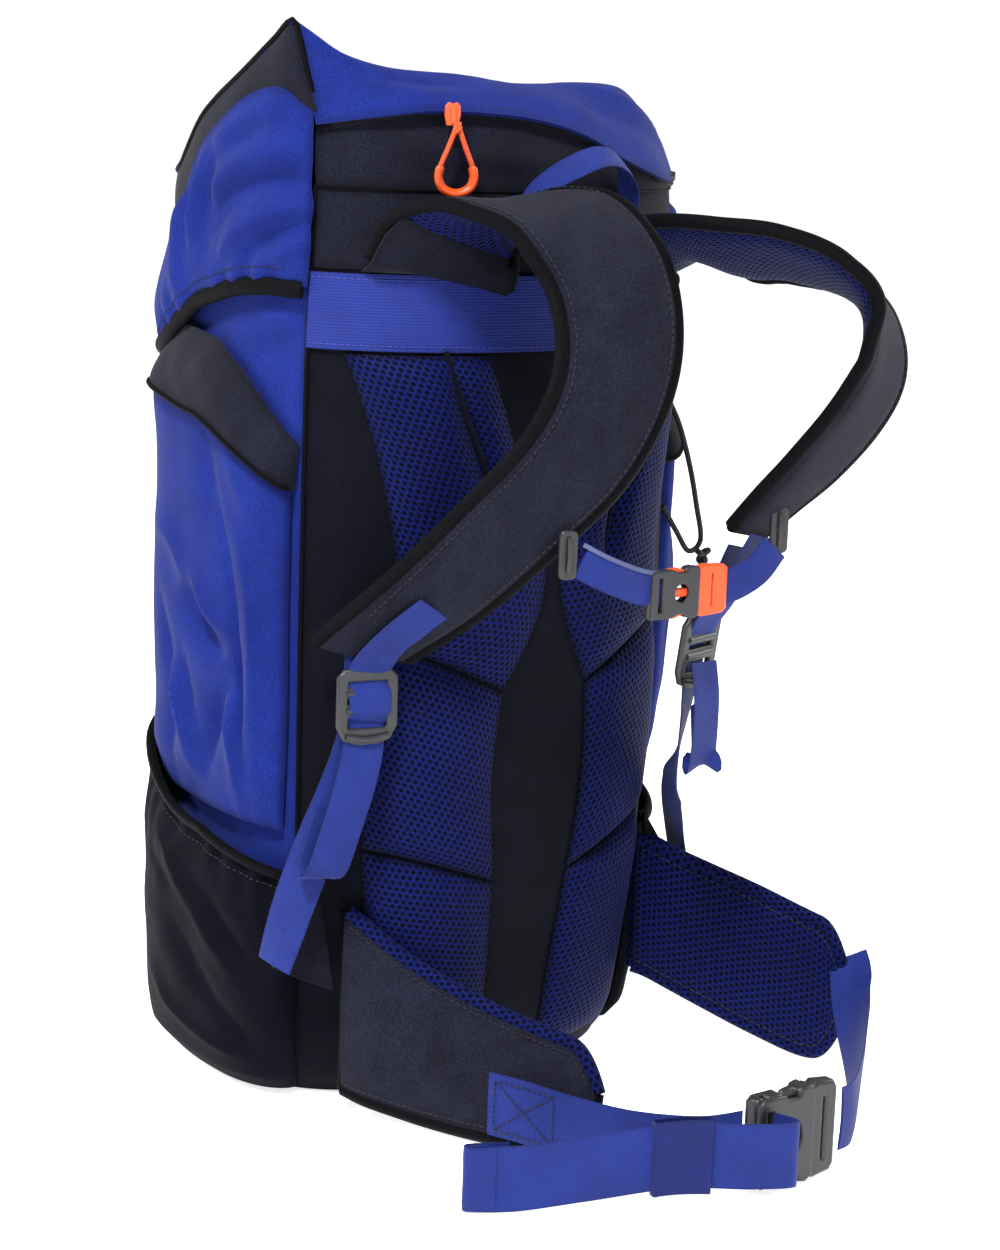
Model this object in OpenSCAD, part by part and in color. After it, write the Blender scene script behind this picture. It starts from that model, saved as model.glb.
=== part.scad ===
// Hiking daypack, about 35 litres, standing on its base.
// Wearer's side faces -Y, front faces +Y, wearer's right is +X, up is +Z.

/* [Body] */
// Thickness of the body fabric
fabric_t = 2.5; // [1:0.1:4]
// Height of the main compartment at the sides and front
side_top = 500; // [400:1:560]
// Height of the seam between the yoke and the lid's back
yoke_top = 545; // [520:1:580]
// Height of the lid's fold line
fold_z = 590; // [570:1:620]
// Thickness of the back pads
pad_t = 9; // [4:0.5:16]

/* [Pockets] */
// Bulge of the side pockets
side_bulge = 15; // [6:1:30]
// Bulge of the open bottle pockets
bottle_bulge = 20; // [10:1:35]
// Bulge of the front pocket
front_bulge = 20; // [8:1:40]

/* [Webbing] */
// Width of the hip belt webbing
waist_w = 38; // [25:1:50]
// Width of the shoulder strap webbing
strap_web_w = 25; // [15:1:30]
// Width of the sternum webbing
sternum_w = 20; // [12:1:25]
// Thickness of all webbing
web_t = 1.6; // [1:0.1:2.5]

/* [Shoulder straps] */
// Thickness of the shoulder straps
strap_t = 12; // [6:0.5:20]

/* [Hidden] */
$fn = 24;
skin_gap = 1;

// Body section by height: half width, depth to the back, depth to the front.
half_w = [[0, 128], [12, 136], [40, 140], [150, 146], [300, 150], [450, 150], [500, 147], [600, 142]];
back_d = [[0, 80], [12, 94], [40, 102], [150, 118], [300, 126], [450, 127], [545, 124], [600, 116]];
front_d = [[0, 92], [12, 98], [40, 102], [150, 106], [450, 104], [600, 98]];
nb = 2.25;
nf = 3.2;
seam_a = 208;
seam_b = 150;

// A point on the body: u runs round the section (270 is the back's middle), o is the offset outward.
function at(u, z, o) = let (
  s = sin(u),
  c = cos(u),
  n = s < 0 ? nb : nf,
  a = lookup(z, half_w) + o,
  b = (s < 0 ? lookup(z, back_d) : lookup(z, front_d)) + o
) [a * sign(c) * pow(abs(c), 2 / n), b * sign(s) * pow(abs(s), 2 / n), z];

// The angle of a point of the back at x, and of a point of the front at x.
function ub(x, z) = 360 - acos(sign(x) * pow(abs(x) / lookup(z, half_w), nb / 2));
function uf(x, z) = acos(sign(x) * pow(abs(x) / lookup(z, half_w), nf / 2));

// Catmull-Rom curve through points.
function cr(a, b, c, d, t) = 0.5 * (2 * b + (c - a) * t + (2 * a - 5 * b + 4 * c - d) * t * t
  + (3 * b - a - 3 * c + d) * t * t * t);
function smooth(p, k) = let (n = len(p)) concat(
  [for (i = [0:n - 2]) for (j = [0:k - 1])
    cr(p[max(i - 1, 0)], p[i], p[i + 1], p[min(i + 2, n - 1)], j / k)],
  [p[n - 1]]);
function line(p, k) = concat(
  [for (i = [0:len(p) - 2]) for (j = [0:k - 1]) p[i] + (p[i + 1] - p[i]) * j / k],
  [p[len(p) - 1]]);
function unit(v) = v / norm(v);
function flip(rows) = [for (r = rows) [for (i = [len(r) - 1:-1:0]) [180 - r[i][0], r[i][1]]]];

// Two grids of points joined into a closed shell; g is the outer one.
module grid_shell(g, h) {
  r = len(g);
  c = len(g[0]);
  k = r * c;
  pts = concat([for (a = g) for (q = a) q], [for (a = h) for (q = a) q]);
  outer = [for (i = [0:r - 2]) for (j = [0:c - 2]) let (a = i * c + j)
    each [[a, a + c, a + c + 1], [a, a + c + 1, a + 1]]];
  inner = [for (i = [0:r - 2]) for (j = [0:c - 2]) let (a = k + i * c + j)
    each [[a, a + c + 1, a + c], [a, a + 1, a + c + 1]]];
  low = [for (j = [0:c - 2]) each [[j, j + 1, k + j + 1], [j, k + j + 1, k + j]]];
  e = (r - 1) * c;
  high = [for (j = [0:c - 2]) each [[e + j, k + e + j + 1, e + j + 1], [e + j, k + e + j, k + e + j + 1]]];
  left = [for (i = [0:r - 2]) let (a = i * c) each [[a, k + a, k + a + c], [a, k + a + c, a + c]]];
  right = [for (i = [0:r - 2]) let (a = i * c + c - 1)
    each [[a, k + a + c, k + a], [a, a + c, k + a + c]]];
  polyhedron(points = pts, faces = concat(outer, inner, low, high, left, right));
}

// A plain sector of the body between two angles.
module sector(u0, u1, zs, cols, o_in, o_out) {
  g = [for (z = zs) [for (j = [0:cols]) at(u0 + (u1 - u0) * j / cols, z, o_out)]];
  h = [for (z = zs) [for (j = [0:cols]) at(u0 + (u1 - u0) * j / cols, z, o_in)]];
  grid_shell(g, h);
}

// A patch given by rows of [angle, height], with a peak offset for each row.
// hollow is 0 for a solid cushion, or the wall thickness of a hollow pocket.
module patch(rows, peaks, kr, kc, o_in, o_edge, hollow) {
  fine = [for (r = rows) line(r, kc)];
  all_rows = line(fine, kr);
  pk = line(peaks, kr);
  c = len(all_rows[0]);
  function off(i, j) = o_edge + max(0, pk[i] - o_edge) * pow(sin(180 * j / (c - 1)), 0.5);
  g = [for (i = [0:len(all_rows) - 1]) [for (j = [0:c - 1])
    at(all_rows[i][j][0], all_rows[i][j][1], off(i, j))]];
  h = [for (i = [0:len(all_rows) - 1]) [for (j = [0:c - 1])
    at(all_rows[i][j][0], all_rows[i][j][1], hollow > 0 ? max(o_in, off(i, j) - hollow) : o_in)]];
  grid_shell(g, h);
}

// Closed loops joined one after another, with flat ends.
module loft(loops) {
  n = len(loops[0]);
  m = len(loops);
  pts = [for (a = loops) for (q = a) q];
  sides = [for (i = [0:m - 2]) for (j = [0:n - 1]) let (
    a = i * n + j,
    b = i * n + (j + 1) % n
  ) each [[a, a + n, b + n], [a, b + n, b]]];
  first = [for (j = [0:n - 1]) j];
  last = [for (j = [n - 1:-1:0]) (m - 1) * n + j];
  polyhedron(points = pts, faces = concat([first], sides, [last]));
}

// A strap along centre points p, with width directions w, widths b and one thickness.
// round is the part of the thickness taken off at the long edges.
// A plumb strap keeps its cross-sections upright where its path climbs or falls.
function ring(c, t, w, b, th, round) = let (
  wd = unit(w - (w * t) * t),
  nd = cross(t, wd),
  x = b / 2,
  y = th / 2,
  e = th * round
) round == 0
  ? [c + wd * x - nd * y, c + wd * x + nd * y, c - wd * x + nd * y, c - wd * x - nd * y]
  : [c + wd * (x - e) - nd * y, c + wd * x - nd * (y - e), c + wd * x + nd * (y - e),
     c + wd * (x - e) + nd * y, c - wd * (x - e) + nd * y, c - wd * x + nd * (y - e),
     c - wd * x - nd * (y - e), c - wd * (x - e) - nd * y];
module strap(p, w, b, th, k, round, plumb = false) {
  q = smooth(p, k);
  v = smooth(w, k);
  s = smooth(b, k);
  n = len(q);
  flat = plumb ? [1, 1, 0] : [1, 1, 1];
  loft([for (i = [0:n - 1]) let (d = q[min(i + 1, n - 1)] - q[max(i - 1, 0)])
    ring(q[i], unit([d[0], d[1], d[2] * flat[2]]), v[i], s[i], th, round)]);
}

// Cord along centre points.
module cord(p, d, k) {
  q = smooth(p, k);
  n = len(q);
  loft([for (i = [0:n - 1]) let (
    t = unit(q[min(i + 1, n - 1)] - q[max(i - 1, 0)]),
    a = unit(cross(t, [0.1, 1, 0])),
    b = cross(t, a)
  ) [for (m = [0:7]) q[i] + a * cos(45 * m) * d / 2 + b * sin(45 * m) * d / 2]]);
}

// Side-release buckle for webbing of width w: closed along +Z, flat towards Y.
// The female half opens upward at z = 0, the male half reaches down into it.
module buckle_female(w) {
  difference() {
    union() {
      translate([-w * 0.72, -w * 0.16, -w * 0.72]) cube([w * 1.44, w * 0.32, w * 0.72]);
      translate([-w * 0.65, -w * 0.06, -w * 1.05]) cube([w * 1.3, w * 0.12, w * 0.335]);
    }
    translate([-w * 0.64, -w * 0.2, -w * 0.66]) cube([w * 1.28, w * 0.4, w * 0.7]);
    translate([-w * 0.53, -w * 0.1, -w * 0.95]) cube([w * 1.06, w * 0.2, w * 0.1]);
    translate([-w * 0.8, -w * 0.075, -w * 0.52]) cube([w * 1.6, w * 0.15, w * 0.34]);
  }
}
module buckle_male(w) {
  difference() {
    translate([-w * 0.7, -w * 0.14, w * 0.07]) cube([w * 1.4, w * 0.28, w * 0.37]);
    translate([-w * 0.53, -w * 0.2, w * 0.14]) cube([w * 1.06, w * 0.4, w * 0.12]);
  }
  translate([-w * 0.6, -w * 0.07, -w * 0.56]) cube([w * 0.14, w * 0.14, w * 0.65]);
  translate([w * 0.46, -w * 0.07, -w * 0.56]) cube([w * 0.14, w * 0.14, w * 0.65]);
  translate([-w * 0.1, -w * 0.07, -w * 0.5]) cube([w * 0.2, w * 0.14, w * 0.59]);
}

// Ladder-lock adjuster, upright, flat towards Y.
module ladder_lock(w) {
  difference() {
    translate([-w * 0.68, -2.2, -w * 0.75]) cube([w * 1.36, 4.4, w * 1.5]);
    translate([-w * 0.53, -4, w * 0.38]) cube([w * 1.06, 8, w * 0.2]);
    translate([-w * 0.53, -4, -w * 0.06]) cube([w * 1.06, 8, w * 0.2]);
    translate([-w * 0.53, -4, -w * 0.56]) cube([w * 1.06, 8, w * 0.24]);
  }
}

// Zip slider with a short tab, upright, flat towards Y, and a cord pull with a round grip.
module zip_slider() {
  cylinder(d = 8, h = 9, center = true);
  translate([-1.5, -5.5, -12]) cube([3, 2, 16]);
}
module zip_pull(l) {
  difference() {
    rotate([90, 0, 0]) cylinder(d = 16, h = 3, center = true);
    rotate([90, 0, 0]) cylinder(d = 9, h = 5, center = true);
  }
  translate([-1.3, -1.3, 6]) cube([2.6, 2.6, l]);
}

body_z = [3, 14, 40, 100, 160, 230, 300, 380, 440, side_top];

module back_panel() {
  color("#20222e") sector(seam_a, 540 - seam_a, body_z, 14, -fabric_t, 0);
}
module yoke_panel() {
  zs = [side_top, yoke_top - 20, yoke_top];
  color("#20222e") sector(seam_a, 540 - seam_a, zs, 14, -fabric_t, 0);
}
module lid_back_panel() {
  zs = [yoke_top + 0.3, yoke_top + 20, fold_z - 4];
  color("#20222e") sector(seam_a, 540 - seam_a, zs, 14, -fabric_t, 0);
}
module side_panel_left() {
  color("#2a3f9d") sector(seam_b, seam_a, body_z, 8, -fabric_t, 0);
}
module side_panel_right() {
  color("#2a3f9d") sector(180 - seam_a, 180 - seam_b, body_z, 8, -fabric_t, 0);
}
module front_panel() {
  color("#2a3f9d") sector(180 - seam_b, seam_b, body_z, 12, -fabric_t, 0);
}
module base_panel() {
  outline = [for (u = [0:9:351]) let (q = at(u, 3, 0)) [q[0], q[1]]];
  color("#20222e") linear_extrude(3) polygon(outline);
}
module frame_sheet() {
  color("#d8dadc") sector(228, 312, [30, 150, 300, 490], 8, -5.4, -3.6);
}
module frame_stays() {
  color("#b9bcc0") sector(244, 249, [31, 150, 300, 489], 1, -9.4, -6.4);
  color("#b9bcc0") sector(291, 296, [31, 150, 300, 489], 1, -9.4, -6.4);
}
module snow_collar() {
  color("#2a3f9d") difference() {
    loft([for (z = [485, 530, 570]) [for (u = [0:10:350]) at(u, z, -18)]]);
    loft([for (z = [484, 530, 571]) [for (u = [0:10:350]) at(u, z, -19.5)]]);
  }
}
module yoke_band() {
  color("#3550b4") sector(seam_a, 540 - seam_a, [455, 476, 498], 14, 0.6, 2.2);
}

upper_rows = [
  [[-104, 288], [-72, 276], [-30, 256]],
  [[-96, 330], [-50, 326], [-5, 322]],
  [[-106, 395], [-68, 395], [-30, 398]],
  [[-121, 453], [-84, 453], [-48, 453]]];
middle_rows = [
  [[-105, 163], [-66, 152], [-28, 138]],
  [[-106, 225], [-70, 215], [-34, 200]],
  [[-104, 286], [-72, 274], [-31, 254]]];
lower_rows = [
  [[-94, 18], [-60, 17], [-22, 16]],
  [[-95, 42], [-62, 42], [-23, 42]],
  [[-98, 90], [-64, 84], [-24, 76]],
  [[-105, 161], [-66, 150], [-28, 136]]];
function on_back(rows) = [for (r = rows) [for (q = r) [ub(q[0], q[1]), q[1]]]];
function other(rows) = [for (r = rows) [for (i = [len(r) - 1:-1:0]) [-r[i][0], r[i][1]]]];
module back_pad(rows) {
  last = len(rows) - 1;
  peaks = [for (i = [0:last]) i == 0 || i == last ? 3 : pad_t];
  color("#2f47a8") patch(on_back(rows), peaks, 2, 3, skin_gap, 3, 0);
}
module back_pads_upper() {
  back_pad(upper_rows);
  back_pad(other(upper_rows));
}
module back_pads_middle() {
  back_pad(middle_rows);
  back_pad(other(middle_rows));
}
module back_pads_lower() {
  back_pad(lower_rows);
  back_pad(other(lower_rows));
}

// Haul loop: 20 mm webbing standing up behind the yoke seam.
haul_p = [[-34, -128, 544], [-30, -131, 556], [-18, -136, 569], [4, -139, 575], [27, -137, 568],
  [41, -131, 553], [45, -127, 541]];
haul_w = [[0.2, 0.8, 0.5], [0.2, 0.8, 0.5], [0, 0.8, 0.6], [0, 0.8, 0.6], [0, 0.8, 0.6],
  [-0.2, 0.8, 0.5], [-0.2, 0.8, 0.5]];
module haul_loop() {
  color("#3550b4") strap(haul_p, haul_w, [for (q = haul_p) 14], web_t, 3, 0);
}

pocket_rows = [
  [[151, 180], [178, 174], [204, 170]],
  [[150, 240], [178, 236], [205, 232]],
  [[150, 330], [178, 320], [205, 310]],
  [[150, 423], [178, 412], [205, 372]]];
cap_rows = [
  [[149, 424], [178, 413.4], [206, 373]],
  [[149, 434], [178, 440], [206.5, 386]],
  [[150, 442], [178, 458], [207, 400]]];
module side_pocket(rows) {
  color("#2a3f9d") patch(rows, [4, side_bulge, side_bulge, side_bulge], 2, 4, skin_gap, 3, 2);
}
module side_pocket_left() {
  side_pocket(pocket_rows);
}
module side_pocket_right() {
  side_pocket(flip(pocket_rows));
}
module pocket_cap_left() {
  color("#20222e") patch(cap_rows, [side_bulge + 4, side_bulge, 3], 2, 4, skin_gap, 3, 2);
}
module pocket_cap_right() {
  color("#20222e") patch(flip(cap_rows), [side_bulge + 4, side_bulge, 3], 2, 4, skin_gap, 3, 2);
}
module side_zip_slider_left() {
  c = at(143, 370, 6);
  color("#fa6e28") translate(c) rotate([0, 0, 133]) zip_slider();
}
module side_zip_slider_right() {
  c = at(37, 370, 6);
  color("#fa6e28") translate(c) rotate([0, 0, -133]) zip_slider();
}

bottle_rows = [
  [[126, 4], [150, 4], [180, 4], [207, 4]],
  [[125, 14], [150, 14], [180, 14], [207, 14]],
  [[125, 40], [150, 40], [180, 40], [207, 40]],
  [[125, 90], [150, 86], [180, 78], [207, 72]],
  [[125, 150], [150, 140], [180, 118], [207, 105]],
  [[125, 212], [150, 196], [180, 160], [207, 140]]];
bottle_peaks = [3, 7, 13, bottle_bulge - 2, bottle_bulge, 16];
binding_rows = [
  [[125, 212.6], [150, 196.6], [180, 160.6], [207, 140.6]],
  [[125, 218], [150, 202], [180, 166], [207, 146]]];
module bottle_pocket_left() {
  color("#20222e") patch(bottle_rows, bottle_peaks, 1, 3, skin_gap, 3, 2);
}
module bottle_pocket_right() {
  color("#20222e") patch(flip(bottle_rows), bottle_peaks, 1, 3, skin_gap, 3, 2);
}
module bottle_bindings() {
  color("#2b2d38") patch(binding_rows, [16.6, 16.6], 1, 3, skin_gap, 3.4, 2.4);
  color("#2b2d38") patch(flip(binding_rows), [16.6, 16.6], 1, 3, skin_gap, 3.4, 2.4);
}

module front_pocket() {
  rows = [
    [[75, 90], [90, 88], [105, 90]],
    [[74, 150], [90, 150], [106, 150]],
    [[74, 300], [90, 300], [106, 300]],
    [[75, 368], [90, 374], [105, 368]]];
  color("#2a3f9d") patch(rows, [3, front_bulge, front_bulge, 3], 2, 4, skin_gap, 3, 2);
}
module front_zip_slider() {
  color("#46464a") translate(at(100, 380, 7)) rotate([0, 0, 180]) zip_slider();
}
module front_zip_pull() {
  color("#fa6e28") translate(at(100, 380, 0) + [0, 16, -28]) zip_pull(10);
}
axe_p = [[0, 103, 30], [0, 112, 36], [0, 122, 52], [0, 124, 68], [0, 116, 80], [0, 107.5, 84]];
module axe_loop(x) {
  route = [for (q = axe_p) q + [x, 0, 0]];
  color("#3550b4") strap(route, [for (q = route) [1, 0, 0]], [for (q = route) 20], web_t, 2, 0);
}
module axe_loops() {
  axe_loop(-38);
  axe_loop(38);
}
module lid_strap(s) {
  zs = [14, 40, 100, 150, 200, 300, 392];
  rows = [for (z = zs) [[uf(80 * s + 12, z), z], [uf(80 * s - 12, z), z]]];
  color("#3550b4") patch(rows, [for (r = rows) 2.6], 1, 2, skin_gap, 2.6, 0);
}
module lid_straps() {
  lid_strap(-1);
  lid_strap(1);
}
module lid_buckle(x) {
  color("#46464a") translate([x, 119, 424]) buckle_female(25);
}
module lid_buckle_left() {
  lid_buckle(-80);
}
module lid_buckle_right() {
  lid_buckle(80);
}

// Shoulder straps: centre points, width directions and widths.
strap_l = [[-77, -123, 502], [-75, -136, 525], [-66, -155, 541], [-50, -185, 535], [-37, -207, 510],
  [-34, -219, 476], [-40, -220, 440], [-54, -208, 403], [-76, -182, 365], [-98, -152, 328], [-116,
    -118, 296]];
strap_lw = [[1, -0.45, 0], [1, -0.3, 0], [1, -0.1, 0.1], [1, -0.1, 0.1], [1, -0.15, 0.1],
  [1, -0.15, 0.05], [1, -0.2, 0], [0.9, -0.3, -0.2], [0.8, -0.3, -0.4], [0.8, -0.3, -0.5], [0.8,
    -0.3, -0.5]];
strap_b = [84, 82, 80, 78, 76, 74, 70, 64, 58, 54, 46];
strap_r = [[77, -128, 502], [73, -144, 512], [63, -172, 516], [65, -204, 517], [78, -228, 516],
  [98, -245, 507], [117, -255, 491], [127, -258, 467], [127, -256, 445], [118, -248, 422], [106, -232, 396],
  [95, -217, 376], [86, -200, 355]];
strap_rw = [[1, 0.45, 0], [1, 0.35, -0.2], [0.95, 0.3, -0.4], [0.85, 0.5, -0.45], [0.85, 0.5, -0.45],
  [0.85, 0.5, -0.45], [0.85, 0.5, -0.4], [0.85, 0.45, -0.3], [0.85, 0.4, -0.3], [0.85, 0.35, -0.3],
  [0.85, 0.3, -0.3], [0.85, 0.3, -0.3], [0.85, 0.3, -0.3]];
strap_rb = [84, 82, 80, 78, 76, 76, 74, 72, 68, 62, 56, 52, 48];
module shoulder_strap_left() {
  color("#20222e") strap(strap_l, strap_lw, strap_b, strap_t, 3, 0.3);
}
module shoulder_strap_right() {
  color("#20222e") strap(strap_r, strap_rw, strap_rb, strap_t, 3, 0.3);
}
web_l = [[-118, -108, 288], [-120, -109, 272], [-121, -108, 244], [-128, -102, 210], [-141, -94, 170],
  [-151, -86, 132], [-158, -79, 97]];
web_lw = [[0.9, -0.3, -0.2], [0.95, -0.3, 0], [0.95, -0.3, 0], [0.9, -0.4, 0.1], [0.8, -0.6, 0.1],
  [0.6, -0.8, 0.1],
  [0.3, -1, 0.1]];
web_r = [[84, -196, 344], [74, -188, 312], [68, -181, 284], [70, -172, 240], [84, -150, 200], [112,
  -116, 174],
  [138, -90, 142], [158, -79, 97]];
web_rw = [[-0.8, 0.4, 0.2], [-0.8, 0.5, 0.1], [-0.8, 0.5, 0], [-0.8, 0.5, 0], [-0.7, 0.7, 0], [-0.5, 0.8, 0],
  [-0.3, 1, 0], [-0.2, 1, 0]];
module strap_webbing_left() {
  color("#3550b4") strap(web_l, web_lw, [for (q = web_l) strap_web_w], web_t, 2, 0);
}
module strap_webbing_right() {
  color("#3550b4") strap(web_r, web_rw, [for (q = web_r) strap_web_w], web_t, 2, 0);
}
module ladder_lock_left() {
  color("#46464a") translate([-121, -113.4, 256]) rotate([0, 0, -15]) ladder_lock(strap_web_w);
}
module ladder_lock_right() {
  color("#46464a") translate([66, -184, 283]) rotate([8, 0, -30]) ladder_lock(strap_web_w);
}
module strap_wings() {
  g = [
    [[-154, -73, 90], [-122, -62, 36]],
    [[-155, -74, 94], [-126, -65, 90]],
    [[-154, -73, 98], [-127, -66, 146]]];
  f = [for (r = g) [[-r[1][0], r[1][1], r[1][2]], [-r[0][0], r[0][1], r[0][2]]]];
  color("#20222e") grid_shell([for (r = g) [for (q = r) q + [-1, -1.5, 0]]], g);
  color("#20222e") grid_shell([for (r = f) [for (q = r) q + [1, -1.5, 0]]], f);
}

// Sternum strap halves, clipped together.
stern_l = [[-45, -208, 348], [-30, -213, 340], [-6, -213, 331], [14, -212, 327]];
stern_r = [[66, -212, 326], [80, -217, 335], [90, -219, 347]];
module sternum_slider_left() {
  color("#46464a") translate([-55, -205, 352]) rotate([0, 0, -15]) cube([7, 5, 26], center = true);
}
module sternum_slider_right() {
  color("#46464a") translate([100, -223, 356]) rotate([0, 0, -25]) cube([7, 5, 26], center = true);
}
module sternum_webbing_left() {
  color("#3550b4") strap(stern_l, [for (q = stern_l) [0.2, 0, 1]], [for (q = stern_l) sternum_w],
    web_t, 2, 0);
}
module sternum_webbing_right() {
  color("#3550b4") strap(stern_r, [for (q = stern_r) [-0.2, 0, 1]], [for (q = stern_r) sternum_w],
    web_t, 2, 0);
}
module sternum_female() {
  color("#46464a") translate([38, -212, 325]) rotate([0, 90, 0]) buckle_female(sternum_w);
}
module sternum_male() {
  color("#fa6e28") translate([38, -212, 325]) rotate([0, 90, 0]) buckle_male(sternum_w);
}

// Elastic cord loop on the wearer's right side.
bungee_p = [[138, -64, 415], [146, -68, 397], [155, -70, 370], [162, -70, 345], [168, -69, 322],
  [159, -68, 315],
  [149, -67, 328], [138, -65, 345]];
module bungee_cord() {
  color("#16171c") cord(bungee_p, 3.5, 5);
}
module bungee_knot() {
  color("#16171c") translate([170, -69, 312]) sphere(d = 10);
}

// Hip fins: centre points, upright directions and heights.
fin_l = [[-113, -88, 70], [-102, -106, 60], [-84, -130, 46], [-68, -162, 38], [-56, -190, 34],
  [-46, -206, 30]];
fin_lw = [[0, 0, 1], [0.1, 0, 1], [0.2, 0, 1], [0.3, 0, 1], [0.35, 0, 1], [0.35, 0, 1]];
fin_b = [112, 100, 84, 70, 60, 34];
fin_r = [[120, -90, 92], [130, -104, 84], [146, -122, 74], [166, -142, 62], [186, -170, 50], [198,
  -192, 48]];
fin_rb = [88, 88, 88, 88, 84, 50];
module hip_fin_left() {
  color("#20222e") strap(fin_l, fin_lw, fin_b, 13, 3, 0.3, true);
}
module hip_fin_right() {
  color("#2f47a8") strap(fin_r, [for (q = fin_r) [0, 0, 1]], fin_rb, 13, 3, 0.3, true);
}
belt_l = [[-80, -180, 28], [-68, -202, 26], [-50, -224, 23], [-30, -256, 22], [-9, -288, 25], [5, -308, 30]];
belt_tail = [[16, -322, 22], [22, -334, 22], [14, -340, 22], [-8, -328, 22], [-40, -306, 22], [-84,
  -282, 22],
  [-126, -258, 22]];
belt_r = [[76, -314, 31], [92, -308, 31], [122, -280, 36], [158, -240, 44], [188, -206, 50], [204,
  -190, 50]];
module waist_webbing_left() {
  color("#3550b4") {
    strap(belt_l, [for (q = belt_l) [0, 0, 1]], [for (q = belt_l) waist_w], web_t, 3, 0, true);
    strap(belt_tail, [for (q = belt_tail) [0, 0, 1]], [for (q = belt_tail) waist_w], web_t, 3, 0, true);
  }
}
module waist_webbing_right() {
  color("#3550b4") strap(belt_r, [for (q = belt_r) [0, 0, 1]], [for (q = belt_r) waist_w], web_t,
    3, 0, true);
}
module waist_female() {
  color("#46464a") translate([48, -314, 31]) rotate([0, 90, 0]) buckle_female(waist_w);
}
module waist_male() {
  color("#46464a") translate([48, -314, 31]) rotate([0, 90, 0]) buckle_male(waist_w);
}

// Lid: a domed top, a skirt round the sides and front, and its hem binding.
// The skirt's clearance over the body grows from the back seams to the sides.
hem = [[-28, 489], [-15, 490], [-2, 484], [8, 466], [20, 450], [40, 442], [90, 438], [140, 442], [160, 450],
  [172, 466], [182, 484], [195, 490], [208, 489]];
function skirt_o(u) = 3.5 + 6.5 * pow(max(0, sin((u + 28) * 180 / 236)), 0.4);
skirt_u = [-28, -22, -15, -8, 0, 8, 20, 30, 45, 60, 75, 90, 105, 120, 135, 150, 160, 172, 180, 188,
  195, 202, 208];
function hem_z(u) = lookup(u, hem);
module skirt_band(t0, t1, rows, d_in, d_out) {
  g = [for (i = [0:rows]) [for (u = skirt_u) let (k = t0 + (t1 - t0) * i / rows)
    at(u, hem_z(u) + (fold_z - hem_z(u)) * k, skirt_o(u) + d_out)]];
  h = [for (i = [0:rows]) [for (u = skirt_u) let (k = t0 + (t1 - t0) * i / rows)
    at(u, hem_z(u) + (fold_z - hem_z(u)) * k, skirt_o(u) + d_in)]];
  grid_shell(g, h);
}
function dome(s, z, o) = [for (u = [0:10:350]) let (
  q = at(u, fold_z, o + (u < 208 || u > 332 ? skirt_o(u > 300 ? u - 360 : u) : 3.5))
) [q[0] * s, q[1] * s, z]];
module lid_shell() {
  color("#2a3f9d") loft([
    dome(0.2, 619.6, -2.2), dome(0.72, 617.4, -2.2), dome(0.93, 607.6, -2.2), dome(1, 590.3, -2.2),
    dome(1, 590.3, 0), dome(0.95, 609.4, 0), dome(0.74, 620, 0), dome(0.2, 622.6, 0)]);
}
module lid_skirt() {
  color("#2a3f9d") skirt_band(0.06, 1, 4, -2, 0);
}
module lid_binding() {
  color("#20222e") skirt_band(0, 0.057, 1, -2.6, 0.8);
}
module lid_zip() {
  color("#16171c") sector(219, 321, [575, 585], 12, 0.8, 1.8);
}
module lid_zip_slider() {
  color("#fa6e28") translate([-74, -112.5, 580]) rotate([0, 0, -25]) cube([9, 5, 10], center = true);
}
module lid_zip_pull() {
  color("#fa6e28") translate([-74.7, -117.2, 0]) rotate([0, 0, -25]) {
    translate([0, 0, 556]) difference() {
      rotate([90, 0, 0]) cylinder(d = 22, h = 3, center = true);
      rotate([90, 0, 0]) cylinder(d = 14, h = 5, center = true);
    }
    translate([-1.3, -1.3, 566]) cube([2.6, 2.6, 17]);
  }
}
module lid_hook(x) {
  color("#46464a") translate([x, 119, 424]) buckle_male(25);
  rows = [for (z = [438, 480, 530, 580]) [[uf(x + 12, z), z], [uf(x - 12, z), z]]];
  color("#3550b4") patch(rows, [13, 13, 13, 13], 1, 2, 11, 13, 0);
}
module lid_hook_left() {
  lid_hook(-80);
}
module lid_hook_right() {
  lid_hook(80);
}

back_panel();
yoke_panel();
lid_back_panel();
side_panel_left();
side_panel_right();
front_panel();
base_panel();
frame_sheet();
frame_stays();
snow_collar();
yoke_band();
back_pads_upper();
back_pads_middle();
back_pads_lower();
haul_loop();
side_pocket_left();
side_pocket_right();
pocket_cap_left();
pocket_cap_right();
side_zip_slider_left();
side_zip_slider_right();
bottle_pocket_left();
bottle_pocket_right();
bottle_bindings();
front_pocket();
front_zip_slider();
front_zip_pull();
axe_loops();
lid_straps();
lid_buckle_left();
lid_buckle_right();
shoulder_strap_left();
shoulder_strap_right();
strap_webbing_left();
strap_webbing_right();
ladder_lock_left();
ladder_lock_right();
strap_wings();
sternum_slider_left();
sternum_slider_right();
sternum_webbing_left();
sternum_webbing_right();
sternum_female();
sternum_male();
bungee_cord();
bungee_knot();
hip_fin_left();
hip_fin_right();
waist_webbing_left();
waist_webbing_right();
waist_female();
waist_male();
lid_shell();
lid_skirt();
lid_binding();
lid_zip();
lid_zip_slider();
lid_zip_pull();
lid_hook_left();
lid_hook_right();
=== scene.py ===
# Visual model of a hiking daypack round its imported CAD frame.
# All lists of points are in millimetres in the CAD frame; meshes are made in metres.
import math

import bpy
import numpy as np
from mathutils import Matrix, Vector


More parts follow.
